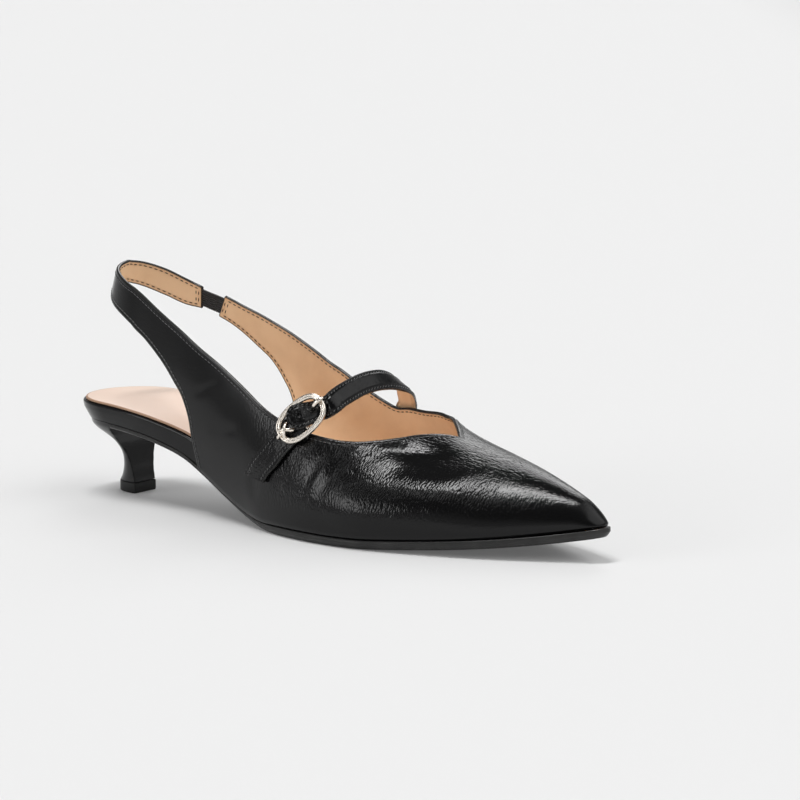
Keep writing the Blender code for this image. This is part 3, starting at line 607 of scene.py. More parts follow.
def paleSock(name):
    skin = Skin(name, {"IOR": 1.45, "Specular IOR Level": 0.4})
    here = skin.place()
    streak = skin.noise(skin.scaled(here, pale["pull"]), 260.0, 3.0)
    cloud = skin.noise(here, 45.0, 3.0)
    paint = skin.tint(skin.ease(cloud, 0.35, 0.75) * 0.4, pale["colour"], pale["deep"])
    edge = skin.under(skin.mark("hem"), 0.0004, 0.0010) * 0.85
    skin.feed("Base Color", skin.tint(edge, paint, pale["edge"]))
    skin.feed("Roughness", 0.46 + streak * 0.16)
    skin.bumps(streak * pale["streaks"], skin.cells(here, 1300.0) * pale["grain"])
    return skin


def polishedMetal(name, colour):
    skin = Skin(name, {"Metallic": 1.0})
    here = skin.place()
    cloud = skin.noise(here, 300.0, 3.0)
    skin.feed("Base Color", skin.tint(cloud, colour, tuple(0.86 * c for c in colour)))
    skin.feed("Roughness", 0.20 + cloud * 0.12)
    skin.bumps(skin.noise(here, 500.0, 1.0) * 0.000006)
    return skin


def thread(name, colour):
    skin = Skin(name, {"Roughness": 0.40})
    twist = skin.noise(skin.place(), 2600.0)
    skin.feed("Base Color", skin.tint(twist, colour, tuple(0.6 * c for c in colour)))
    skin.bumps(twist * 0.00004)
    return skin


# Woven elastic: ribs along it and a fine weave across. The colour darkens in the grooves between
# the ribs, a painted shade, and varies at random with the weave.
def ribbedElastic(name):
    skin = Skin(name, {"Roughness": 0.45})
    ribs = skin.mark("rib")
    weave = skin.noise(skin.place(), 2400.0)
    # Painted shade: darker in the rib grooves and lighter on the rib tops.
    skin.feed("Base Color", skin.tint(ribs * 0.6 + weave * 0.4,
                                      (0.002, 0.002, 0.002), (0.018, 0.018, 0.019)))
    skin.bumps(ribs * 0.00016, weave * 0.00022)
    return skin


skins = {
    "upper": blackLeather("upperLeather"),
    "strap": blackLeather("strapLeather", crinkle=1.5, rough=0.12),
    "wrap": smoothBlack("platformWrap", (0.0040, 0.0040, 0.0042), 0.14, 0.05),
    "heel": smoothBlack("heelLeather", (0.0035, 0.0035, 0.0037), 0.13, 0.05),
    "sole": smoothBlack("soleLeather", (0.018, 0.018, 0.0175), 0.34, 0.1, 0.00003),
    "tip": smoothBlack("tipRubber", (0.010, 0.010, 0.010), 0.48, 0.0, 0.00004),
    "lining": tanLining("tanLining"),
    "sock": paleSock("paleSock"),
    "metal": polishedMetal("paleGold", (0.96, 0.89, 0.80)),
    "blackThread": thread("blackThread", (0.085, 0.085, 0.086)),
    "tanThread": thread("brownThread", (0.10, 0.045, 0.021)),
    "elastic": ribbedElastic("blackElastic"),
    # Flat black for gaps between parts, a painted shade; no piece uses it.
    "gap": Skin("gapShadeBlack", {"Base Color": (0.004, 0.004, 0.004, 1), "Roughness": 0.9})}
print("materials ready")


# Sole, platform, sock and heel

# Body between stacked rings, lowest first. A ring is its outer and its inner half from back
# to front. The levels under capFrom are the side, the rest close the top from its edge in.
def slabPiece(name, rings, skins, marks=None, capFrom=None, **more):
    halves = len(rings[0][0])
    loops = np.array([np.concatenate([outer, inner[::-1]]) for outer, inner in rings])
    levels, size = loops.shape[:2]
    side = gridFaces(levels, size, closedColumns=True)
    k = np.arange(halves - 1)
    rungs = np.stack([k, k + 1, size - 2 - k, size - 1 - k], axis=1)
    top = rungs + (levels - 1) * size
    parts = [(side[:, ::-1], 0), (rungs, 0), (top[:, ::-1], 0)]
    if capFrom is not None:
        cut = capFrom * size
        parts = [(side[:cut, ::-1], 0), (side[cut:, ::-1], 1), (rungs, 0), (top[:, ::-1], 1)]
    points = loops.reshape(-1, 3)
    a, b, c = [points[side[:, i]] for i in range(3)]
    if np.sum((a - points.mean(axis=0)) * np.cross(b - a, c - a)) > 0:
        parts = [(rows[:, ::-1], skin) for rows, skin in parts]
    makePiece(name, points, parts, skins, marks=marks, **more)


# Both halves of a drawn-in outline, each point at the height of its own station.
def slabRing(share, inset, height, end=1.0):
    halves = [outline(side, share, inset, end) for side in (-1, 1)]
    return [np.column_stack([half, height(shareAt(half[:, 0]))]) for half in halves]


# Thin formed sole: an upright edge with a fine lip over a drawn-in lower part.
sole = {"facet": 0.0019, "bevel": 0.0014, "edge": 0.0008, "shankInset": 0.0014,
        "stations": 220, "levels": 9, "soften": 0.00018, "softFrom": 0.9, "groove": 0.00010,
        "grooveAt": 0.00045, "grooveWide": 0.00016, "under": 0.0008, "over": 0.0010, "lowest": 0.04}
# Edge of the outsole against the seam: 1 is the shank inset inside it, -1 the toe edge outside.
weltTable = table("share draw", [
    [0, 1],
    [0.38, 1],
    [0.5, 0.1],
    [0.6, 0],
    [0.8, -0.3],
    [0.92, -1],
    [1, -1]])


def makeSole():
    start = shareAt(heel["breast"] + shoe["gap"])
    share = start + (1 - start) * bunched(sole["stations"], 0, 0.9)
    draw = curve(weltTable, "draw", share)
    inset = np.where(draw > 0, draw * sole["shankInset"], draw * sole["edge"])
    bevel = sole["bevel"] * (0.5 + 0.5 * curve(soleTable, "thick", share))

    def facet(at):
        thick = curve(soleTable, "thick", at)
        return seam(at) - (0.5 * shoe["shankThick"] * (1 - thick) + sole["facet"] * thick)

    # Height between two lines of the edge.
    def between(low, high, t):
        return lambda at: low(at) + (high(at) - low(at)) * t

    rings = [slabRing(share, inset + bevel + sole["under"], tread)]
    for t in np.linspace(0, 1, sole["levels"]):
        swell = sole["soften"] * np.sin(np.pi * t)
        rings.append(slabRing(share, inset + bevel * (1 - t) - swell + sole["soften"],
                              between(tread, facet, sole["lowest"] + t * (1 - sole["lowest"]))))
    for t in np.linspace(0, 1, sole["levels"] + 3)[1:]:
        away = ((1 - t) * sole["facet"] - sole["grooveAt"]) / sole["grooveWide"]
        soft = max(0.0, (t - sole["softFrom"]) / (1 - sole["softFrom"]))
        drawn = inset + sole["groove"] * np.exp(-away**2) + sole["soften"] * soft**2
        rings.append(slabRing(share, drawn, between(facet, seam, t)))
    rings.append(slabRing(share, inset + sole["over"], seam))
    slabPiece("shoeSole", rings, [skins["sole"]], replaced=["outsole"], slot="sole", sharp=38)


# Wrapped board under the foot, its wall black and glossy at the seat.
platform = {"thick": 0.0072, "thin": 0.0016, "roll": 0.0006, "end": 0.985, "stations": 200,
            "inset": shoe["wall"] + 2 * shoe["gap"], "levels": 18, "rollFrom": 0.86}
# Platform over the sole: thickness from thin (0) to thick (1), how far its top and its
# bottom edge lie inside the seam's outline, as shares of the inset.
platformTable = table("share thick top bottom", [
    [0, 1, 0, 1.55],
    [0.05, 1, 0, 1.05],
    [0.1, 1, 0, 0.7],
    [0.15, 1, 0.28, 0.8],
    [0.2, 1.03, 0.55, 0.9],
    [0.25, 1.15, 0.85, 1],
    [0.28, 1.28, 1.05, 1.15],
    [0.32, 1.1, 1.1, 1.15],
    [0.4, 0.52, 1.1, 1.15],
    [0.5, 0.1, 1.1, 1.15],
    [0.6, 0, 1.1, 1.15],
    [1, 0, 1.1, 1.15]])
# Side of the platform: height as a share of its thickness, and 0 to 1 from its top inset
# to its bottom inset
platformSide = [
    (0, 1),
    (0.3, 0.55),
    (0.62, 0.12),
    (0.88, 0),
    (1, 0)]


# Height in the platform as a function of station, rise 0 underneath and 1 on top.
def platformPart(rise):
    def height(at):
        more = curve(platformTable, "thick", at) * (platform["thick"] - platform["thin"])
        return seam(at) + shoe["gap"] + (platform["thin"] + more) * rise
    return height


def makePlatform():
    share = platform["end"] * bunched(platform["stations"], 0.9, 0.9)
    top = curve(platformTable, "top", share) * platform["inset"]
    bottom = curve(platformTable, "bottom", share) * platform["inset"]
    sides = np.array(platformSide)
    rings = []
    for rise in np.sin(np.linspace(0, np.pi / 2, platform["levels"])):
        over = max(0.0, (rise - platform["rollFrom"]) / (1 - platform["rollFrom"]))
        drawn = np.interp(rise, sides[:, 0], sides[:, 1])
        inset = top + (bottom - top) * drawn + platform["roll"] * (1 - np.sqrt(1 - over**2))
        rings.append(slabRing(share, inset, platformPart(rise), platform["end"]))
    slabPiece("shoePlatform", rings, [skins["wrap"]], replaced=["insole_board"], slot="wrap",
              sharp=50)


# Pale sock, its top from a soft edge inwards.
sock = {"thick": 0.0008, "inset": 0.0012, "soft": 0.00018, "low": 0.35,
        "rows": (0.0, 0.00012, 0.0004, 0.0008, 0.0014, 0.003)}


def makeSock():
    share = platform["end"] * bunched(platform["stations"], 0.9, 0.9)
    inset = curve(platformTable, "top", share) * platform["inset"] + sock["inset"]
    top = platformPart(1)
    rings, hems = [], []
    domed = [(1 - sock["low"] * np.exp(-drawn / sock["soft"]), drawn) for drawn in sock["rows"]]
    for over, drawn in [(0.0, 0.0)] + domed:
        height = shoe["gap"] + sock["thick"] * over
        rings.append(slabRing(share, inset + drawn, lambda at: top(at) + height, platform["end"]))
        hems.append(np.full(2 * len(share), drawn))
    slabPiece("shoeSock", rings, [skins["sock"]], {"hem": np.concatenate(hems)},
              replaced=["insole_sock"], slot="sock", sharp=60)


# Kitten heel with a flat breast, and its top piece.
heel = {"breast": 0.0060, "tipHeight": 0.0045, "tipWidth": 0.0136, "tipDepth": 0.0130,
        "tipStep": 0.0002, "around": 160, "levels": 90, "corner": 0.00032, "turns": 60, "front": 20}
# Side of the heel tip from the floor up: height, and how far it is drawn in.
tipSide = [(0, 0.00035), (0.00012, 0.00012), (0.0004, 0), (0.0041, 0), (0.0044, 0.0001),
           (0.0045, 0.0003)]
# Heel from its tip to the seat. Height is a share of the seat height, lean of the breast, and
# wide and deep run from the tip's size (0) to the seat's (1).
heelTable = table("height lean wide deep", [
    [0.2, 0.08, 0, -0.14],
    [0.288, 0.18, 0.015, -0.31],
    [0.394, 0.27, 0.057, -0.45],
    [0.515, 0.4, 0.132, -0.57],
    [0.621, 0.52, 0.264, -0.62],
    [0.712, 0.57, 0.42, -0.46],
    [0.8, 0.5, 0.62, 0.04],
    [0.87, 0.34, 0.8, 0.55],
    [0.925, 0.16, 0.92, 0.85]])


# Ring of the heel: flat in front, half an ellipse behind. height is a value or a row.
def dee(breast, half, depth, height):
    turn = np.linspace(0, np.pi / 2, heel["turns"])
    halves = []
    for side in (-1, 1):
        x = breast - depth * np.cos(turn)
        halves.append(np.column_stack([x, side * half * np.sin(turn), 0 * x + height]))
    count = heel["front"]
    front = np.column_stack([np.full(count, breast), np.linspace(-half, half, count + 2)[1:-1],
                             np.full(count, halves[0][-1, 2])])
    return np.concatenate([halves[0], front, halves[1][::-1][:-1]])


def makeHeel():
    seat = shareAt(heel["breast"])
    bottom = curve(platformTable, "bottom", np.array([0.0, seat])) * platform["inset"]
    bottom = bottom + shoe["gap"]
    seatDepth = heel["breast"] + shoe["heelBack"] - bottom[0]
    seatHalf = seamWidth(1, seat) - bottom[1]
    tipHalf = heel["tipWidth"] / 2 - heel["tipStep"]
    tipDepth = heel["tipDepth"] - 2 * heel["tipStep"]
    foot = heel["tipHeight"] + shoe["gap"]
    rings = [dee(heel["breast"] - heel["tipStep"], tipHalf, tipDepth, foot)]
    for height, lean, wide, deep in zip(*heelTable.values()):
        rings.append(dee(heel["breast"] * (1 - lean), tipHalf + (seatHalf - tipHalf) * wide,
                         tipDepth + (seatDepth - tipDepth) * deep, shoe["seatHeight"] * height))
    top = dee(heel["breast"], seatHalf, seatDepth, 0)
    top[:, 2] = seam(shareAt(top[:, 0]))
    rings = np.array([roundLoop(ring, heel["around"], heel["corner"]) for ring in rings + [top]])
    at = np.concatenate([[heel["tipHeight"]], heelTable["height"] * shoe["seatHeight"],
                         [shoe["seatHeight"]]])
    loops = cubic(at, rings, np.linspace(at[0], at[-1], heel["levels"]))
    loops[:, :, 2] = np.maximum(loops[:, :, 2], foot)
    loftPiece("shoeHeel", loops, [skins["heel"]], replaced=["heel"], slot="heel", sharp=40)
    rim = dee(heel["breast"], heel["tipWidth"] / 2, heel["tipDepth"], 0)
    middle = rim.mean(axis=0)
    spokes = roundLoop(rim, heel["around"], heel["corner"]) - middle
    loops = [middle + spokes * (1 - drawn / (heel["tipWidth"] / 2)) + np.array([0, 0, height])
             for height, drawn in tipSide]
    loftPiece("shoeHeelTip", loops, [skins["tip"]], replaced=["heel_tip"], slot="tip", sharp=40)


makeSole()
makePlatform()
makeSock()
makeHeel()
print("sole, platform, sock and heel ready")


# Upper

# Soft folds and swells of the vamp and quarters. A row is a side, its middle as station and
# girth, its half length and half width in metres, its depth (down is positive) and the angle
# of its run: 0 lies along the shoe, 90 goes up towards the ridge.
folds = [
    (-1, 0.64, 0.42, 0.011, 0.0032, 0.00042, 62),
    (-1, 0.6, 0.3, 0.012, 0.0034, 0.0004, 74),
    (-1, 0.56, 0.24, 0.01, 0.003, 0.00034, 84),
    (-1, 0.62, 0.5, 0.007, 0.002, -0.00022, 60),
    (-1, 0.58, 0.26, 0.01, 0.0022, -0.00024, 78),
    (-1, 0.54, 0.22, 0.009, 0.0026, -0.00022, 92),
    (-1, 0.5, 0.2, 0.009, 0.0028, 0.00026, 96),
    (-1, 0.69, 0.62, 0.012, 0.003, 0.00034, 24),
    (-1, 0.73, 0.5, 0.014, 0.003, 0.00026, 12),
    (-1, 0.7, 0.34, 0.013, 0.0034, -0.00024, 6),
    (-1, 0.33, 0.22, 0.007, 0.0022, 0.00024, 60),
    (-1, 0.37, 0.17, 0.008, 0.0026, 0.00022, 40),
    (-1, 0.44, 0.12, 0.009, 0.0034, 0.00024, 108),
    (-1, 0.712, 0.265, 0.029, 0.012, -0.002, 20),
    (-1, 0.68, 0.6, 0.026, 0.009, 0.0012, 15),
    (1, 0.64, 0.42, 0.011, 0.0032, 0.0004, 62),
    (1, 0.6, 0.3, 0.012, 0.0034, 0.00038, 76),
    (1, 0.56, 0.24, 0.01, 0.003, 0.00032, 88),
    (1, 0.7, 0.6, 0.012, 0.003, 0.0003, 22),
    (1, 0.4, 0.16, 0.008, 0.003, 0.00022, 60)]

# from holds where the sling's elastic starts and ends, the seam at the arch and the throat.
# The crinkle sets in over some length from behind the ball and over some height from the sole.
upper = {
    "columns": (56, 18, 90, 130, 116), "rows": 46, "from": (0, 0.18, 0.24, 0.62, 0.905, 1.0),
    "tuck": 0.0006, "tuckWide": 0.0012, "foldFade": 0.08, "cutStep": 0.006,
    "crinkleFrom": 0.088, "crinkleOver": 0.030, "flatUnder": 0.0055, "flatOver": 0.0065,
    "crestFrom": 0.42, "crestOver": 0.30, "aheadStep": 0.01, "filling": 0.00022}
# Edges of the upper. p runs from the back of the sling to the toe on both sides.
# Stations are shares of the length, heights are shares of the girth from seam to ridge.
toeEdge = [
    [0.93, 0.79, 0, 0.77, 1],
    [0.96, 0.875, 0, 0.86, 1],
    [0.985, 0.96, 0, 0.95, 1],
    [1, 1, 0, 1, 1]]
outerEdges = table("p low lowGirth high highGirth", [
    [0, 0.02, 0.33, 0.02, 0.383],
    [0.05, 0.059, 0.308, 0.059, 0.375],
    [0.1, 0.097, 0.288, 0.1, 0.362],
    [0.15, 0.134, 0.263, 0.137, 0.342],
    [0.185, 0.159, 0.239, 0.163, 0.3265],
    [0.22, 0.183, 0.2245, 0.19, 0.311],
    [0.29, 0.226, 0.193, 0.245, 0.289],
    [0.36, 0.256, 0.164, 0.3, 0.286],
    [0.43, 0.276, 0.143, 0.35, 0.303],
    [0.49, 0.289, 0.108, 0.39, 0.318],
    [0.54, 0.293, 0.064, 0.42, 0.328],
    [0.58, 0.297, 0.03, 0.445, 0.337],
    [0.62, 0.303, 0, 0.467, 0.345],
    [0.66, 0.345, 0, 0.497, 0.358],
    [0.7, 0.4, 0, 0.53, 0.38],
    [0.74, 0.46, 0, 0.565, 0.411],
    [0.78, 0.525, 0, 0.6, 0.459],
    [0.82, 0.59, 0, 0.635, 0.541],
    [0.85, 0.645, 0, 0.667, 0.664],
    [0.875, 0.685, 0, 0.694, 0.816],
    [0.893, 0.715, 0, 0.7105, 0.897],
    [0.905, 0.735, 0, 0.7262, 0.948]] + toeEdge)
innerEdges = table("p low lowGirth high highGirth", [
    [0, 0.02, 0.33, 0.02, 0.383],
    [0.05, 0.059, 0.315, 0.059, 0.373],
    [0.1, 0.097, 0.289, 0.097, 0.352],
    [0.14, 0.126, 0.266, 0.126, 0.328],
    [0.18, 0.15, 0.258, 0.153, 0.309],
    [0.24, 0.183, 0.246, 0.196, 0.298],
    [0.3, 0.214, 0.231, 0.236, 0.286],
    [0.36, 0.251, 0.205, 0.28, 0.285],
    [0.42, 0.277, 0.19, 0.325, 0.298],
    [0.48, 0.297, 0.168, 0.365, 0.315],
    [0.53, 0.315, 0.14, 0.396, 0.33],
    [0.57, 0.326, 0.1, 0.425, 0.35],
    [0.6, 0.334, 0.05, 0.445, 0.36],
    [0.63, 0.342, 0, 0.465, 0.367],
    [0.67, 0.38, 0, 0.495, 0.372],
    [0.71, 0.43, 0, 0.525, 0.385],
    [0.75, 0.49, 0, 0.55, 0.428],
    [0.79, 0.55, 0, 0.585, 0.486],
    [0.83, 0.61, 0, 0.624, 0.585],
    [0.86, 0.655, 0, 0.65, 0.66],
    [0.885, 0.695, 0, 0.683, 0.83],
    [0.897, 0.718, 0, 0.706, 0.955],
    [0.905, 0.735, 0, 0.7262, 1.069]] + toeEdge)


# Shares along the shoe and girths of the upper, a row of values for each p.
def upperGrid(side, p, v):
    tab = outerEdges if side < 0 else innerEdges
    low, lowGirth, high, highGirth = [curve(tab, name, p, "p")[:, None] for name in
                                      ("low", "lowGirth", "high", "highGirth")]
    lowGirth = np.maximum(lowGirth, 0)
    return low + (high - low) * v, lowGirth + (highGirth - lowGirth) * v


# Distance from each point to the nearest of the places, worked out in blocks.
def nearest(points, places):
    reach = []
    for block in np.array_split(points, max(len(points) // 2000, 1)):
        square = (block**2).sum(axis=1)[:, None] + (places**2).sum(axis=1) - 2 * block @ places.T
        reach.append(np.sqrt(np.maximum(square.min(axis=1), 0)))
    return np.concatenate(reach)


# Points of an open run of places, filled in so that none lie far apart.
def filled(run):
    reach = reachOf(run)
    return sampled(np.linspace(0, reach[-1], int(reach[-1] / upper["filling"]) + 2), reach, run)


# Points of one side pushed in by its folds.
def folded(side, points, out, girth):
    for foldSide, at, high, long, wide, deep, angle in folds:
        if foldSide != side:
            continue
        at, high = np.array([at]), np.array([high])
        middle, face = lastPoint(side, at, high)[0], lastNormal(side, at, high)[0]
        ahead = unit(lastPoint(side, at + upper["aheadStep"], high)[0] - middle)
        up = np.cross(face, ahead) * -side
        up = up * np.sign(up[2])
        turn = np.radians(angle)
        run = ahead * np.cos(turn) + up * np.sin(turn)
        away = points - middle
        lengthwise, crosswise = away @ run / long, away @ np.cross(face, run) / wide
        fade = np.exp(-lengthwise**4 - crosswise**2) * cut(girth / upper["foldFade"])
        points = points - (deep * fade)[..., None] * out
    return points


# Vamp, quarters and sling: one wall over the last, bent by its folds.
def makeUpper():
    spans = zip(upper["from"][:-1], upper["from"][1:], upper["columns"])
    p = np.concatenate([np.linspace(*span, endpoint=False) for span in spans] + [[1.0]])
    v = np.linspace(0, 1, upper["rows"] + 1)
    gapFrom, gapTo, _, apex = np.cumsum(upper["columns"])[:4].tolist()
    sheets, outs, girths = [], [], []
    for side in (-1, 1):
        share, girth = upperGrid(side, p, v)
        out = lastNormal(side, share, girth)
        sheets.append(folded(side, lastPoint(side, share, girth), out, girth))
        outs.append(out)
        girths.append(girth)
    front = np.concatenate(sheets).reshape(-1, 3)
    ways = np.concatenate(outs).reshape(-1, 3)
    back = front - shoe["wall"] * ways
    outer = np.arange(len(p) * len(v)).reshape(len(p), len(v))
    inner = outer + outer.size
    numbers = np.arange(2 * outer.size)
    numbers[inner[0]] = outer[0]
    numbers[inner[apex:, -1]] = outer[apex:, -1]
    numbers[outer[-1]] = outer[-1, 0]
    numbers[inner[-1]] = outer[-1, 0]
    quads = gridFaces(len(p), len(v))
    column = quads[:, 0] // len(v)
    innerQuads = quads[(column < gapFrom) | (column >= gapTo)][:, ::-1] + outer.size
    faces = numbers[np.concatenate([quads, innerQuads])]
    rims = [sheets[0][:apex + 1, -1], sheets[1][:gapFrom + 1, -1], sheets[1][gapTo:apex + 1, -1],
            sheets[1][gapFrom], sheets[1][gapTo]]
    for sheet, girth in zip(sheets, girths):
        low = girth[:, 0] > 0
        low[gapFrom:gapTo] &= sheet is sheets[0]
        run = sheet[:, 0][low]
        steps = np.linalg.norm(np.diff(run, axis=0), axis=1)
        cuts = np.where(steps > upper["cutStep"])[0] + 1
        rims += [piece for piece in np.split(run, cuts) if len(piece) > 2]
    hem = nearest(front, np.concatenate([filled(run) for run in rims]))
    seamLine = np.concatenate([filled(sheet[girth[:, 0] <= 0][:, 0])
                               for sheet, girth in zip(sheets, girths)])
    base = nearest(front, seamLine)
    front = front - (upper["tuck"] * (1 - cut(base / upper["tuckWide"])))[:, None] * ways
    ahead = eased((front[:, 0] - upper["crinkleFrom"]) / upper["crinkleOver"])
    raised = eased((base - upper["flatUnder"]) / upper["flatOver"])
    crinkled = (0.08 + 0.92 * ahead) * (0.06 + 0.94 * raised)
    girth = np.concatenate(girths).reshape(-1)
    crest = cut((girth - upper["crestFrom"]) / upper["crestOver"])
    points, rim, lined, origin = closeShell(front, back, faces, steps=4, bulge=0.75)
    marks = {"hem": hem[origin], "crinkled": crinkled[origin], "crest": crest[origin]}
    # Rim points get hem 0, so the leather's painted edge highlight covers the whole rim.
    marks["hem"][2 * len(front):] = 0
    makePiece("shoeUpper", points, [(faces, 0), (rim, 0), (lined, 1)],
              [skins["upper"], skins["lining"]], marks, ["upper"], "leather", sharp=70)
    return sheets, outs, hem.reshape(2, len(p), len(v)), apex, gapFrom, gapTo


# Runs at one distance from a free edge: where each column of the grid first reaches it,
# from the top or from the bottom. Breaks in it start a new run.
def hemRuns(sheet, out, hem, distance, columns, top=True):
    order = slice(None, None, -1) if top else slice(None)
    grid, ways, near = [rows[columns][:, order] for rows in (sheet, out, hem)]
    reached = near >= distance
    reached[:, 0] = False
    found = reached.any(axis=1) & (near[:, 0] < seams["nearEdge"])
    j = np.maximum(np.argmax(reached, axis=1), 1)
    i = np.arange(len(j))
    step = np.maximum(near[i, j] - near[i, j - 1], 1e-9)
    t = cut((distance - near[i, j - 1]) / step)[:, None]
    places = grid[i, j - 1] + (grid[i, j] - grid[i, j - 1]) * t
    outs = unit(ways[i, j - 1] + (ways[i, j] - ways[i, j - 1]) * t)
    runs, start = [], None
    for k in range(len(j) + 1):
        if k < len(j) and found[k]:
            start = k if start is None else start
        elif start is not None:
            if k - start > seams["shortest"]:
                runs.append((places[start:k], outs[start:k]))
            start = None
    return runs


# Stitch rows of the upper: distances from its edges outside, inside and at the elastic.
seams = {"outer": 0.0016, "inner": 0.0010, "ends": (0.0010, 0.0022), "lift": 0.00004,
         "nearEdge": 0.0003, "shortest": 4, "row": 20, "inRows": slice(8, -8),
         "black": {"pitch": 0.0021, "length": 0.0017, "thick": 0.00042},
         "brown": {"pitch": 0.0024, "length": 0.0016, "thick": 0.00048}}


def makeUpperSeams(sheets, outs, hem, apex, gapFrom, gapTo):
    black, brown = [], []
    spans = {0: [range(0, apex)], 1: [range(0, gapFrom + 1), range(gapTo, apex)]}
    linings = [sheet - shoe["wall"] * out for sheet, out in zip(sheets, outs)]
    for which, sheet in enumerate(sheets):
        for columns in spans[which]:
            columns = np.array(columns)
            for top in (True, False):
                black += hemRuns(sheet, outs[which], hem[which], seams["outer"], columns, top)
                brown += hemRuns(linings[which], -outs[which], hem[which], seams["inner"],
                                 columns, top)
    inside, row, rows = linings[1], seams["row"], seams["inRows"]
    for end, step in ((gapFrom, -1), (gapTo, 1)):
        for away in seams["ends"]:
            reach = np.linalg.norm(inside[end + step, row] - inside[end, row])
            k = end + step * max(int(round(away / reach)), 1)
            brown.append((inside[k, rows], -outs[1][k, rows]))
            black.append((sheets[1][k, rows], outs[1][k, rows]))
    for name, runs, size, skin in (("upperSeams", black, "black", "blackThread"),
                                   ("liningSeams", brown, "brown", "tanThread")):
        raised = [(path + seams["lift"] * out, out) for path, out in runs]
        stitchPiece(name, raised, seams[size], skins[skin], slot="leather")


makeUpperSeams(*makeUpper())
print("upper ready")


# Straps, elastic and buckle

# Shape of a padded strap: point spacing, then its soft edges, groove, swell and holes.
padding = {"holeSpan": 1.8, "holeSteps": 40, "endSteps": 24, "closest": 0.00003, "crowd": 1.15,
           "tip": 0.0015, "endHem": 0.3, "topSoft": 0.8, "backSoft": 0.6, "grooveWide": 0.00030,
           "swellWide": 0.0012, "holeFrom": 0.72, "holeEdge": 0.36, "holeDeep": 0.62}


# Padded strap along a path: a crowned top with a groove along each edge, and a flat lined
# back. holes are (length from the path's end, radius); they sink into the top. blunt is the
# length of a rounded end.
def strapPiece(name, path, across, half, wall, skins, style, holes=(), blunt=None, **more):
    reach = reachOf(path)
    stations = [np.linspace(0, reach[-1], style["stations"])]
    for away, radius in holes:
        span = padding["holeSpan"] * radius
        stations.append(reach[-1] - away + np.linspace(-span, span, padding["holeSteps"]))
    if blunt is not None:
        turn = np.linspace(0, np.pi / 2, padding["endSteps"])
        stations.append(reach[-1] - blunt * (1 - np.cos(turn)))
    at = np.unique(np.round(np.concatenate(stations), 7))
    at = at[np.concatenate([[True], np.diff(at) > padding["closest"]])]
    path, across = sampled(at, reach, path), sampled(at, reach, across)
    left = reach[-1] - at
    _, square, over = pathFrame(path, across)
    if style.get("sheared"):
        across = across - over * np.sum(across * over, axis=1)[:, None]
        across = across / np.sum(across * square, axis=1)[:, None]
    else:
        across = square
    reachSide = np.full(len(at), half)
    if "spread" in style:
        near, far = style["spreadOver"]
        reachSide = half * (1 + style["spread"] * eased((far - left) / (far - near)))
    if blunt is not None:
        end = np.clip(left / blunt, padding["tip"], 1)
        reachSide = reachSide * np.sqrt(cut(1 - (1 - end)**2))
    t = np.linspace(-1, 1, style["columns"])
    t = np.sign(t) * (1 - (1 - np.abs(t))**padding["crowd"])
    side = reachSide[:, None] * t
    hem = reachSide[:, None] * (1 - np.abs(t))
    if blunt is not None:
        hem = np.minimum(hem, left[:, None] + padding["endHem"] * hem)
    drop = style["round"] * (1 - np.sqrt(1 - (1 - cut(hem / style["round"]))**2))
    inside = hem - style["grooveAt"]
    crown = wall / 2 - padding["topSoft"] * drop
    crown = crown - style["groove"] * np.exp(-(inside / padding["grooveWide"])**2)
    crown = crown + style["swell"] * cut(inside / padding["swellWide"])
    for away, radius in holes:
        far = np.hypot(left[:, None] - away, side) / radius
        hollow = 1 - cut((far - padding["holeFrom"]) / padding["holeEdge"])
        crown = crown - hollow * wall * padding["holeDeep"]
    base = padding["backSoft"] * drop - wall / 2
    flat = path[:, None] + side[..., None] * across[:, None]
    top, under = [flat + rise[..., None] * over[:, None] for rise in (crown, base)]
    rows, columns = side.shape
    around = 2 * columns
    points = np.concatenate([top, under[:, ::-1]], axis=1).reshape(-1, 3)
    hems = np.concatenate([hem, hem[:, ::-1]], axis=1)
    quads = gridFaces(rows, around, closedColumns=True)
    first = quads[:, 0] % around
    lined = (first >= columns) & (first < around - 1)
    ends = [list(range(around))[::-1], list(range((rows - 1) * around, rows * around))]
    turned = outward(points, quads, np.repeat(path, around, axis=0))
    if turned is not quads:
        ends = [end[::-1] for end in ends]
    marks = {"hem": hems, "crinkled": 0 * hems + style["crinkled"], "crest": 0 * hems + 0.5}
    makePiece(name, points, [(turned[~lined], 0), (ends, 0), (turned[lined], 1)], skins, marks,
              sharp=60, **more)
    return path, across, over, left, reachSide


# The same path with more points, and its width's directions at each.
def finer(path, across, count):
    reach = reachOf(path)
    return through(path, count), sampled(np.linspace(0, reach[-1], count), reach, across)


# Slanted stitches of the straps, and how they sit in their grooves.
strapStitches = {"pitch": 0.0018, "length": 0.0013, "thick": 0.00056, "slant": 0.6,
                 "proud": 0.00003, "narrowest": 0.0004, "sunk": 0.00002, "endPoints": 30}


# Stitch runs along both edges of a strap, on its top.
def strapRuns(style, path, across, over, left, reachSide, fromStart=0.0, toEnd=0.0):
    inset = style["grooveAt"]
    lift = style["wall"] / 2 - style["groove"] + strapStitches["proud"]
    keep = (reachOf(path) >= fromStart) & (left >= toEnd)
    keep &= reachSide > inset + strapStitches["narrowest"]
    runs = [path + side * (reachSide - inset)[:, None] * across + lift * over for side in (-1, 1)]
    return [(run[keep], over[keep]) for run in runs]


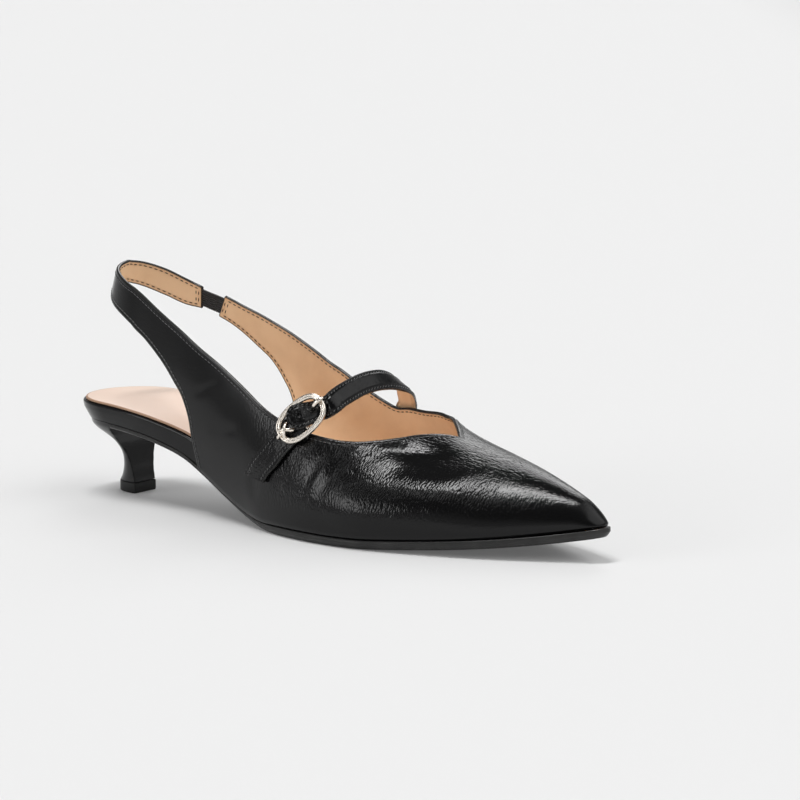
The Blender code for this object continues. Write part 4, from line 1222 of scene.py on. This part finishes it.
# Buckle: an oval wire with a bar across it.
ring = {
    "length": 0.0210, "width": 0.0130, "wire": 0.00122, "barWire": 0.00075, "barDrop": 0.0002,
    "prongWire": 0.00080, "along": (0.640, 0.372, 0.675), "out": (0.230, -0.920, 0.320),
    "share": 0.5180, "girth": 0.372, "lift": 0.0006, "seat": 0.24, "square": 2.5,
    "points": 200, "around": 28, "groove": 0.30, "grooveWide": 0.28, "turns": 1440,
    "corner": 0.0004, "barTaper": 0.0002, "prongTaper": 0.0007}
tab = {
    "width": 0.0112, "wall": 0.0012, "slant": 0.15, "free": (-0.06, 0.03), "stations": 150,
    "columns": 44, "round": 0.00035, "groove": 0.00012, "grooveAt": 0.0018, "swell": 0.00030,
    "crinkled": 0.8, "sheared": True}
strap = {
    "width": 0.0090, "wall": 0.0016, "stations": 420, "columns": 46, "round": 0.00060,
    "groove": 0.00016, "grooveAt": 0.0012, "swell": 0.00045, "crinkled": 0.85,
    "holes": ((0.0185, 0.00080), (0.0052, 0.00080)), "spread": 0.20,
    "spreadOver": (0.0060, 0.0130)}
# Instep strap from its root on the inner side to the buckle. Shares of the length, the ball's
# width and the instep height, lean turns the strap's face towards the toe, in degrees.
strapRoot = table("share girth", [
    [0.5255, 0.345],
    [0.5305, 0.375],
    [0.536, 0.4]])
strapTable = table("along across height lean", [
    [0.547, 0.352, 0.775, 10],
    [0.556, 0.3, 0.832, 20],
    [0.564, 0.205, 0.893, 40],
    [0.5695, 0.045, 0.942, 57],
    [0.57, -0.1, 0.94, 60],
    [0.5707, -0.224, 0.911, 58],
    [0.5703, -0.29, 0.888, 54]])
# Strap through the buckle: shares of the ring's length along it and of its rise over the bar
buckledTable = table("along beside rise", [
    [0.6, 0.26, 0.3],
    [0.48, 0.185, 0],
    [0.32, 0.075, 0],
    [0.15, 0, 0.55],
    [0.02, -0.05, 1],
    [-0.1, -0.07, 1.12],
    [-0.22, -0.08, 1.2]])
# Prong from the strap over the ring's far end: share of its length, rise over the wire
prongTable = table("along rise", [
    [0.3, 0.1],
    [0.37, 0.75],
    [0.45, 1],
    [0.53, 0.98],
    [0.6, 0.6]])
# Base strap of the buckle on the outer quarter
tabTable = table("share girth turn", [
    [0.4485, 0.13, 0],
    [0.461, 0.172, 0.1],
    [0.477, 0.218, 0.3],
    [0.4905, 0.266, 0.6],
    [0.502, 0.311, 0.9]])


# Middle of the buckle and its directions along, across and outward.
def ringFrame():
    share, girth = np.array([ring["share"]]), np.array([ring["girth"]])
    out = unit(ring["out"])
    along = unit(np.array(ring["along"]) - out * (out @ np.array(ring["along"])))
    across = np.cross(along, out)
    clear = 3 * shoe["gap"] + tab["wall"] + ring["wire"] + ring["lift"]
    seat = lastPoint(-1, share, girth)[0] + lastNormal(-1, share, girth)[0] * clear
    return seat + along * ring["seat"] * ring["length"], along, across, out


# Middle of the strap inside the buckle, from its far end to the tail's end.
def buckledPath():
    middle, along, across, out = ringFrame()
    under = -(ring["wire"] + shoe["gap"] + strap["wall"] / 2)
    over = -ring["barDrop"] + ring["barWire"] + shoe["gap"] + strap["wall"] / 2
    rise = under + (over - under) * buckledTable["rise"]
    beside = buckledTable["beside"][:, None] * ring["width"] * across
    ahead = buckledTable["along"][:, None] * ring["length"] * along
    return middle + ahead + beside + rise[:, None] * out


# Middle line of the instep strap and its width's directions.
def strapPath():
    across = ringFrame()[2]
    share, girth = strapRoot["share"], strapRoot["girth"]
    clear = 3 * shoe["gap"] + strap["wall"] / 2
    root = lastPoint(1, share, girth) + clear * lastNormal(1, share, girth)
    crest = np.column_stack([forward(strapTable["along"]), strapTable["across"] * shoe["ballWidth"],
                             strapTable["height"] * shoe["instepHeight"]])
    lean = np.radians(strapTable["lean"])
    turns = np.column_stack([np.cos(lean), 0 * lean, -np.sin(lean)])
    tail = buckledPath()
    points = np.concatenate([root, crest, tail])
    turns = np.concatenate([turns[[0] * len(root)], turns, np.broadcast_to(across, tail.shape)])
    path, across = finer(points, turns, 64)
    run = unit(np.gradient(path, axis=0))
    return path, across - run * np.sum(across * run, axis=1)[:, None]


# Middle line of the prong's tip.
def prongPath():
    middle, along, across, out = ringFrame()
    low = ring["prongWire"] - ring["wire"]
    high = ring["wire"] + shoe["gap"] + ring["prongWire"]
    rise = low + (high - low) * prongTable["rise"]
    points = middle + prongTable["along"][:, None] * ring["length"] * along + rise[:, None] * out
    return through(points, 12), across


# Middle line of the buckle's base strap and its width's directions.
def tabPath():
    middle, along, across, out = ringFrame()
    face = lastNormal(-1, tabTable["share"], tabTable["girth"])
    clear = 2 * shoe["gap"] + tab["wall"] / 2
    on = lastPoint(-1, tabTable["share"], tabTable["girth"]) + clear * face
    under = -(ring["barDrop"] + ring["barWire"] + shoe["gap"] + tab["wall"] / 2)
    free = np.array([middle + along * ring["length"] * at + out * under for at in tab["free"]])
    points = np.concatenate([on, free])
    turn = cut(tabTable["turn"])[:, None]
    ways = np.array([1.0, 0.0, -tab["slant"]]) * (1 - turn) + across * turn
    ways = ways - face * np.sum(ways * face, axis=1)[:, None]
    return finer(points, unit(np.concatenate([ways, [across, across]])), 20)


def makeStraps():
    path, across = finer(*strapPath(), 500)
    half = strap["width"] / 2
    made = strapPiece("shoeStrap", path, across, half, strap["wall"],
                      [skins["strap"], skins["lining"]], strap, holes=strap["holes"], blunt=half,
                      replaced=["instep_strap"], slot="leather")
    runs = strapRuns(strap, *made, toEnd=strap["grooveAt"])
    path, across = tabPath()
    path, across = finer(path, -across, 160)
    made = strapPiece("buckleBase", path, across, tab["width"] / 2, tab["wall"],
                      [skins["strap"], skins["strap"]], tab, replaced=["buckle_tab"],
                      slot="leather")
    runs += strapRuns(tab, *made, fromStart=0.0006)
    path, across, over = made[:3]
    k = int(np.argmax(reachOf(path) > tab["grooveAt"]))
    count = strapStitches["endPoints"]
    t = np.linspace(-1, 1, count)[:, None] * (tab["width"] / 2 - tab["grooveAt"])
    lift = tab["wall"] / 2 - strapStitches["sunk"]
    runs.append((path[k] + t * across[k] + lift * over[k], np.repeat(over[k][None], count, axis=0)))
    stitchPiece("strapSeams", runs, strapStitches, skins["blackThread"], slot="leather")


# Short elastic between the two ends of the sling, with ribs along it.
elastic = {"width": 0.0064, "wall": 0.0011, "stations": 50, "rows": 60, "ribs": 7,
           "ribDeep": 0.00022, "clear": 1.2}


def makeElastic():
    p = np.linspace(*upper["from"][1:3], elastic["stations"])
    ends = lastPoint(1, *[column[:, [0, -1]] for column in upperGrid(1, p, np.array([0, 1]))])
    tall = np.linalg.norm(ends[:, 1] - ends[:, 0], axis=1)
    t = np.linspace(-0.5, 0.5, elastic["rows"])
    share, girth = upperGrid(1, p, 0.5 + elastic["width"] / tall[:, None] * t)
    ends = np.linspace(elastic["clear"], -elastic["clear"], len(p))[:, None]
    share = share + shoe["gap"] / shoe["length"] * ends
    points, out = lastPoint(1, share, girth), lastNormal(1, share, girth)
    rib = 0.5 + 0.5 * np.cos(2 * np.pi * elastic["ribs"] * (t + 0.5)) * np.ones_like(share)
    depth = (shoe["wall"] - elastic["wall"]) / 2
    sunk = elastic["ribDeep"] * (1 - rib)
    front, back = [(points - deep[..., None] * out).reshape(-1, 3)
                   for deep in (depth + sunk, depth + elastic["wall"] - sunk)]
    faces = gridFaces(*share.shape)[:, ::-1]
    made, rim, lined, origin = closeShell(front, back, faces)
    makePiece("slingElastic", made, [(faces, 0), (rim, 0), (lined, 0)], [skins["elastic"]],
              {"rib": rib.reshape(-1)[origin]}, ["sling_elastic"], "elastic", sharp=70)


# Wire with round ends, thinned over its last lengths.
def wirePiece(name, path, radius, beside, taper, replaced=()):
    reach = reachOf(path)
    near = np.minimum(reach, reach[-1] - reach)
    thin = np.sqrt(1 - (1 - np.clip(near / taper, 0.02, 1))**2)
    loops = wireLoops(path, radius * thin, beside, around=18)
    loftPiece(name, loops, [skins["metal"]], sharp=80, replaced=replaced, slot="metal")


# Wire round a closed path. radius is a grid of values for its points.
def closedWire(name, path, radius, beside, replaced=()):
    around = radius.shape[1]
    loops = wireLoops(path, radius, beside, closed=True, around=around)
    points = loops.reshape(-1, 3)
    faces = gridFaces(len(path), around, closedRows=True, closedColumns=True)
    faces = outward(points, faces, np.repeat(path, around, axis=0))
    makePiece(name, points, [(faces, 0)], [skins["metal"]], replaced=replaced, slot="metal")


# Crossed wires wound round the ring's lower end. An arm is its reach along and across.
knot = {"along": -0.0078, "across": -0.0002, "wire": 0.00074, "lift": 0.0002, "seat": 0.9,
        "arch": 1.2, "sunk": 0.0002, "taper": 0.0005, "hoop": 0.6, "hoopPoints": 40,
        "hoopAround": 14, "arms": ((0.0029, 0.0022), (0.0022, -0.0022))}


# Ring, bar, prong and knot. The ring is a rounded oval: cosine and sine to a power under 1.
def makeBuckle():
    middle, along, across, out = ringFrame()
    turn = np.linspace(0, 2 * np.pi, ring["turns"], endpoint=False)
    reach, width = [np.sign(wave) * np.abs(wave)**(2 / ring["square"]) * size / 2 for wave, size in
                    ((np.sin(turn), ring["length"]), (np.cos(turn), ring["width"]))]
    oval = middle + reach[:, None] * along + width[:, None] * across
    path = roundLoop(oval, ring["points"], ring["corner"])
    angle = np.linspace(0, 2 * np.pi, ring["around"], endpoint=False)
    off = (angle + np.pi) % (2 * np.pi) - np.pi
    radius = ring["wire"] * (1 - ring["groove"] * np.exp(-(off / ring["grooveWide"])**2))
    closedWire("buckleOval", path, np.tile(radius, (len(path), 1)), out, ["buckle_ring"])
    ends = np.linspace(-1, 1, 12)[:, None] * ring["width"] / 2
    wirePiece("buckleBar", middle + ends * across - out * ring["barDrop"], ring["barWire"], out,
              ring["barTaper"])
    path, beside = prongPath()
    wirePiece("buckleProng", through(path, 60), ring["prongWire"], beside, ring["prongTaper"],
              ["buckle_prong"])
    place = middle + knot["along"] * along + knot["across"] * across
    high = ring["wire"] + knot["wire"] * knot["seat"] + knot["lift"]
    t = np.linspace(-1, 1, 9)[:, None]
    for number, (far, wide) in enumerate(knot["arms"]):
        wave = (high + number * knot["wire"]) * np.cos(t * knot["arch"]) - knot["sunk"]
        run = far * along + wide * across
        path = through(place + t * run + wave * out, 40)
        wirePiece("buckleTwist%d" % (number + 1), path, knot["wire"], unit(np.cross(out, run)),
                  knot["taper"])
    turn = np.linspace(0, 2 * np.pi, knot["hoopPoints"], endpoint=False)[:, None]
    spokes = np.cos(turn) * along + np.sin(turn) * out
    hoop = middle - ring["length"] / 2 * along
    hoop = hoop + (ring["wire"] + knot["wire"] * knot["hoop"]) * spokes
    radius = np.full((knot["hoopPoints"], knot["hoopAround"]), knot["wire"])
    closedWire("buckleHoop", hoop, radius, across)


makeStraps()
makeElastic()
makeBuckle()
print("straps and buckle ready")


# Floor, light and camera

# Floor fades from its colour to the far one, seen across the camera's view. low and high are
# the sky's brightness, turns is the rise over which it changes.
# The floor's glow is painted light: the floor emits a little so that the shadows on it stay light.
stage = {"size": 60.0, "floor": (0.665, 0.665, 0.665), "paintedGlow": 0.10, "far": (0.35, 0.35, 0.35),
         "aside": (0.788, 0.616, 0.0), "fade": (0.50, 0.90), "backdrop": (0.888, 0.888, 0.888),
         "view": (1.10593, -1.23194, 0.31709), "back": (0.6071, -0.7771, 0.1661), "lens": 177.31,
         "sensor": 36.0, "clip": (0.05, 200.0), "low": 0.42, "high": 0.08, "turns": (0.10, 0.42)}

# Soft boxes of the studio, far away: azimuth and elevation, half width and half height in
# degrees, softness of the edge, brightness.
softBoxes = [
    (-108, 79, 4.8, 13, 0.3, 24),
    (-100, 54, 3, 12, 0.5, 3),
    (-118, 16, 11, 7, 0.45, 5.5),
    (-131, 30, 3, 12, 0.5, 2.5),
    (117, 35, 11, 13, 0.4, 3.6),
    (20, 48, 38, 26, 0.35, 1.3)]


def makeStage():
    half = stage["size"] / 2
    mesh = bpy.data.meshes.new("floor")
    corners = [(-half, -half, 0), (half, -half, 0), (half, half, 0), (-half, half, 0)]
    mesh.from_pydata(corners, [], [(0, 1, 2, 3)])
    # The floor glows a little: painted light that lightens the shadows on it.
    skin = Skin("floorWhite", {"Roughness": 0.9, "Specular IOR Level": 0.1,
                               "Emission Strength": stage["paintedGlow"], "Emission Color": (1, 1, 1, 1)})
    fade = skin.ease(abs(skin.dot(skin.place(), stage["aside"])), *stage["fade"])
    skin.feed("Base Color", skin.tint(fade, stage["floor"], stage["far"]))
    mesh.materials.append(skin.material)
    floor = bpy.data.objects.new("floor", mesh)
    bpy.context.scene.collection.objects.link(floor)
    camera = bpy.data.objects.new("camera", bpy.data.cameras.new("camera"))
    camera.data.lens, camera.data.sensor_width = stage["lens"], stage["sensor"]
    camera.data.clip_start, camera.data.clip_end = stage["clip"]
    camera.location = stage["view"]
    camera.rotation_euler = (-Vector(stage["back"])).to_track_quat("-Z", "Y").to_euler()
    bpy.context.scene.collection.objects.link(camera)
    bpy.context.scene.camera = camera
    bpy.context.scene.view_settings.view_transform = "Standard"


# Studio light: a sky dimmer overhead with bright soft boxes in it, plain pale behind the shoe.
def makeLight():
    world = bpy.data.worlds.new("studio")
    world.use_nodes = True
    bpy.context.scene.world = world
    sky = Skin("studio", {}, world.node_tree)
    way = sky.node("ShaderNodeTexCoord", out="Generated")
    rise = sky.ease(sky.dot(way, (0, 0, 1)), *stage["turns"])
    bright = stage["low"] + (stage["high"] - stage["low"]) * rise
    for azimuth, elevation, wide, high, soft, power in softBoxes:
        turn, lift = np.radians(azimuth), np.radians(elevation)
        middle = np.array([np.cos(turn) * np.cos(lift), np.sin(turn) * np.cos(lift), np.sin(lift)])
        beside = np.array([-np.sin(turn), np.cos(turn), 0.0])
        front, side, rise = [sky.dot(way, v) for v in (middle, beside, np.cross(middle, beside))]
        mask = sky.math("GREATER_THAN", front, 0.0)
        for value, angle in ((side, wide), (rise, high)):
            half = np.tan(np.radians(angle))
            mask = mask * sky.under(abs(value / front), half * (1 - soft), half * (1 + soft))
        bright = mask * power + bright
    seen = sky.node("ShaderNodeLightPath", out="Is Camera Ray")
    background = world.node_tree.nodes["Background"]
    sky.plug(background.inputs["Color"], sky.tint(seen, (1.0, 1.0, 1.0), stage["backdrop"]))
    sky.plug(background.inputs["Strength"], bright + (1 - bright) * seen)


makeStage()
makeLight()
print("floor, light and camera ready")
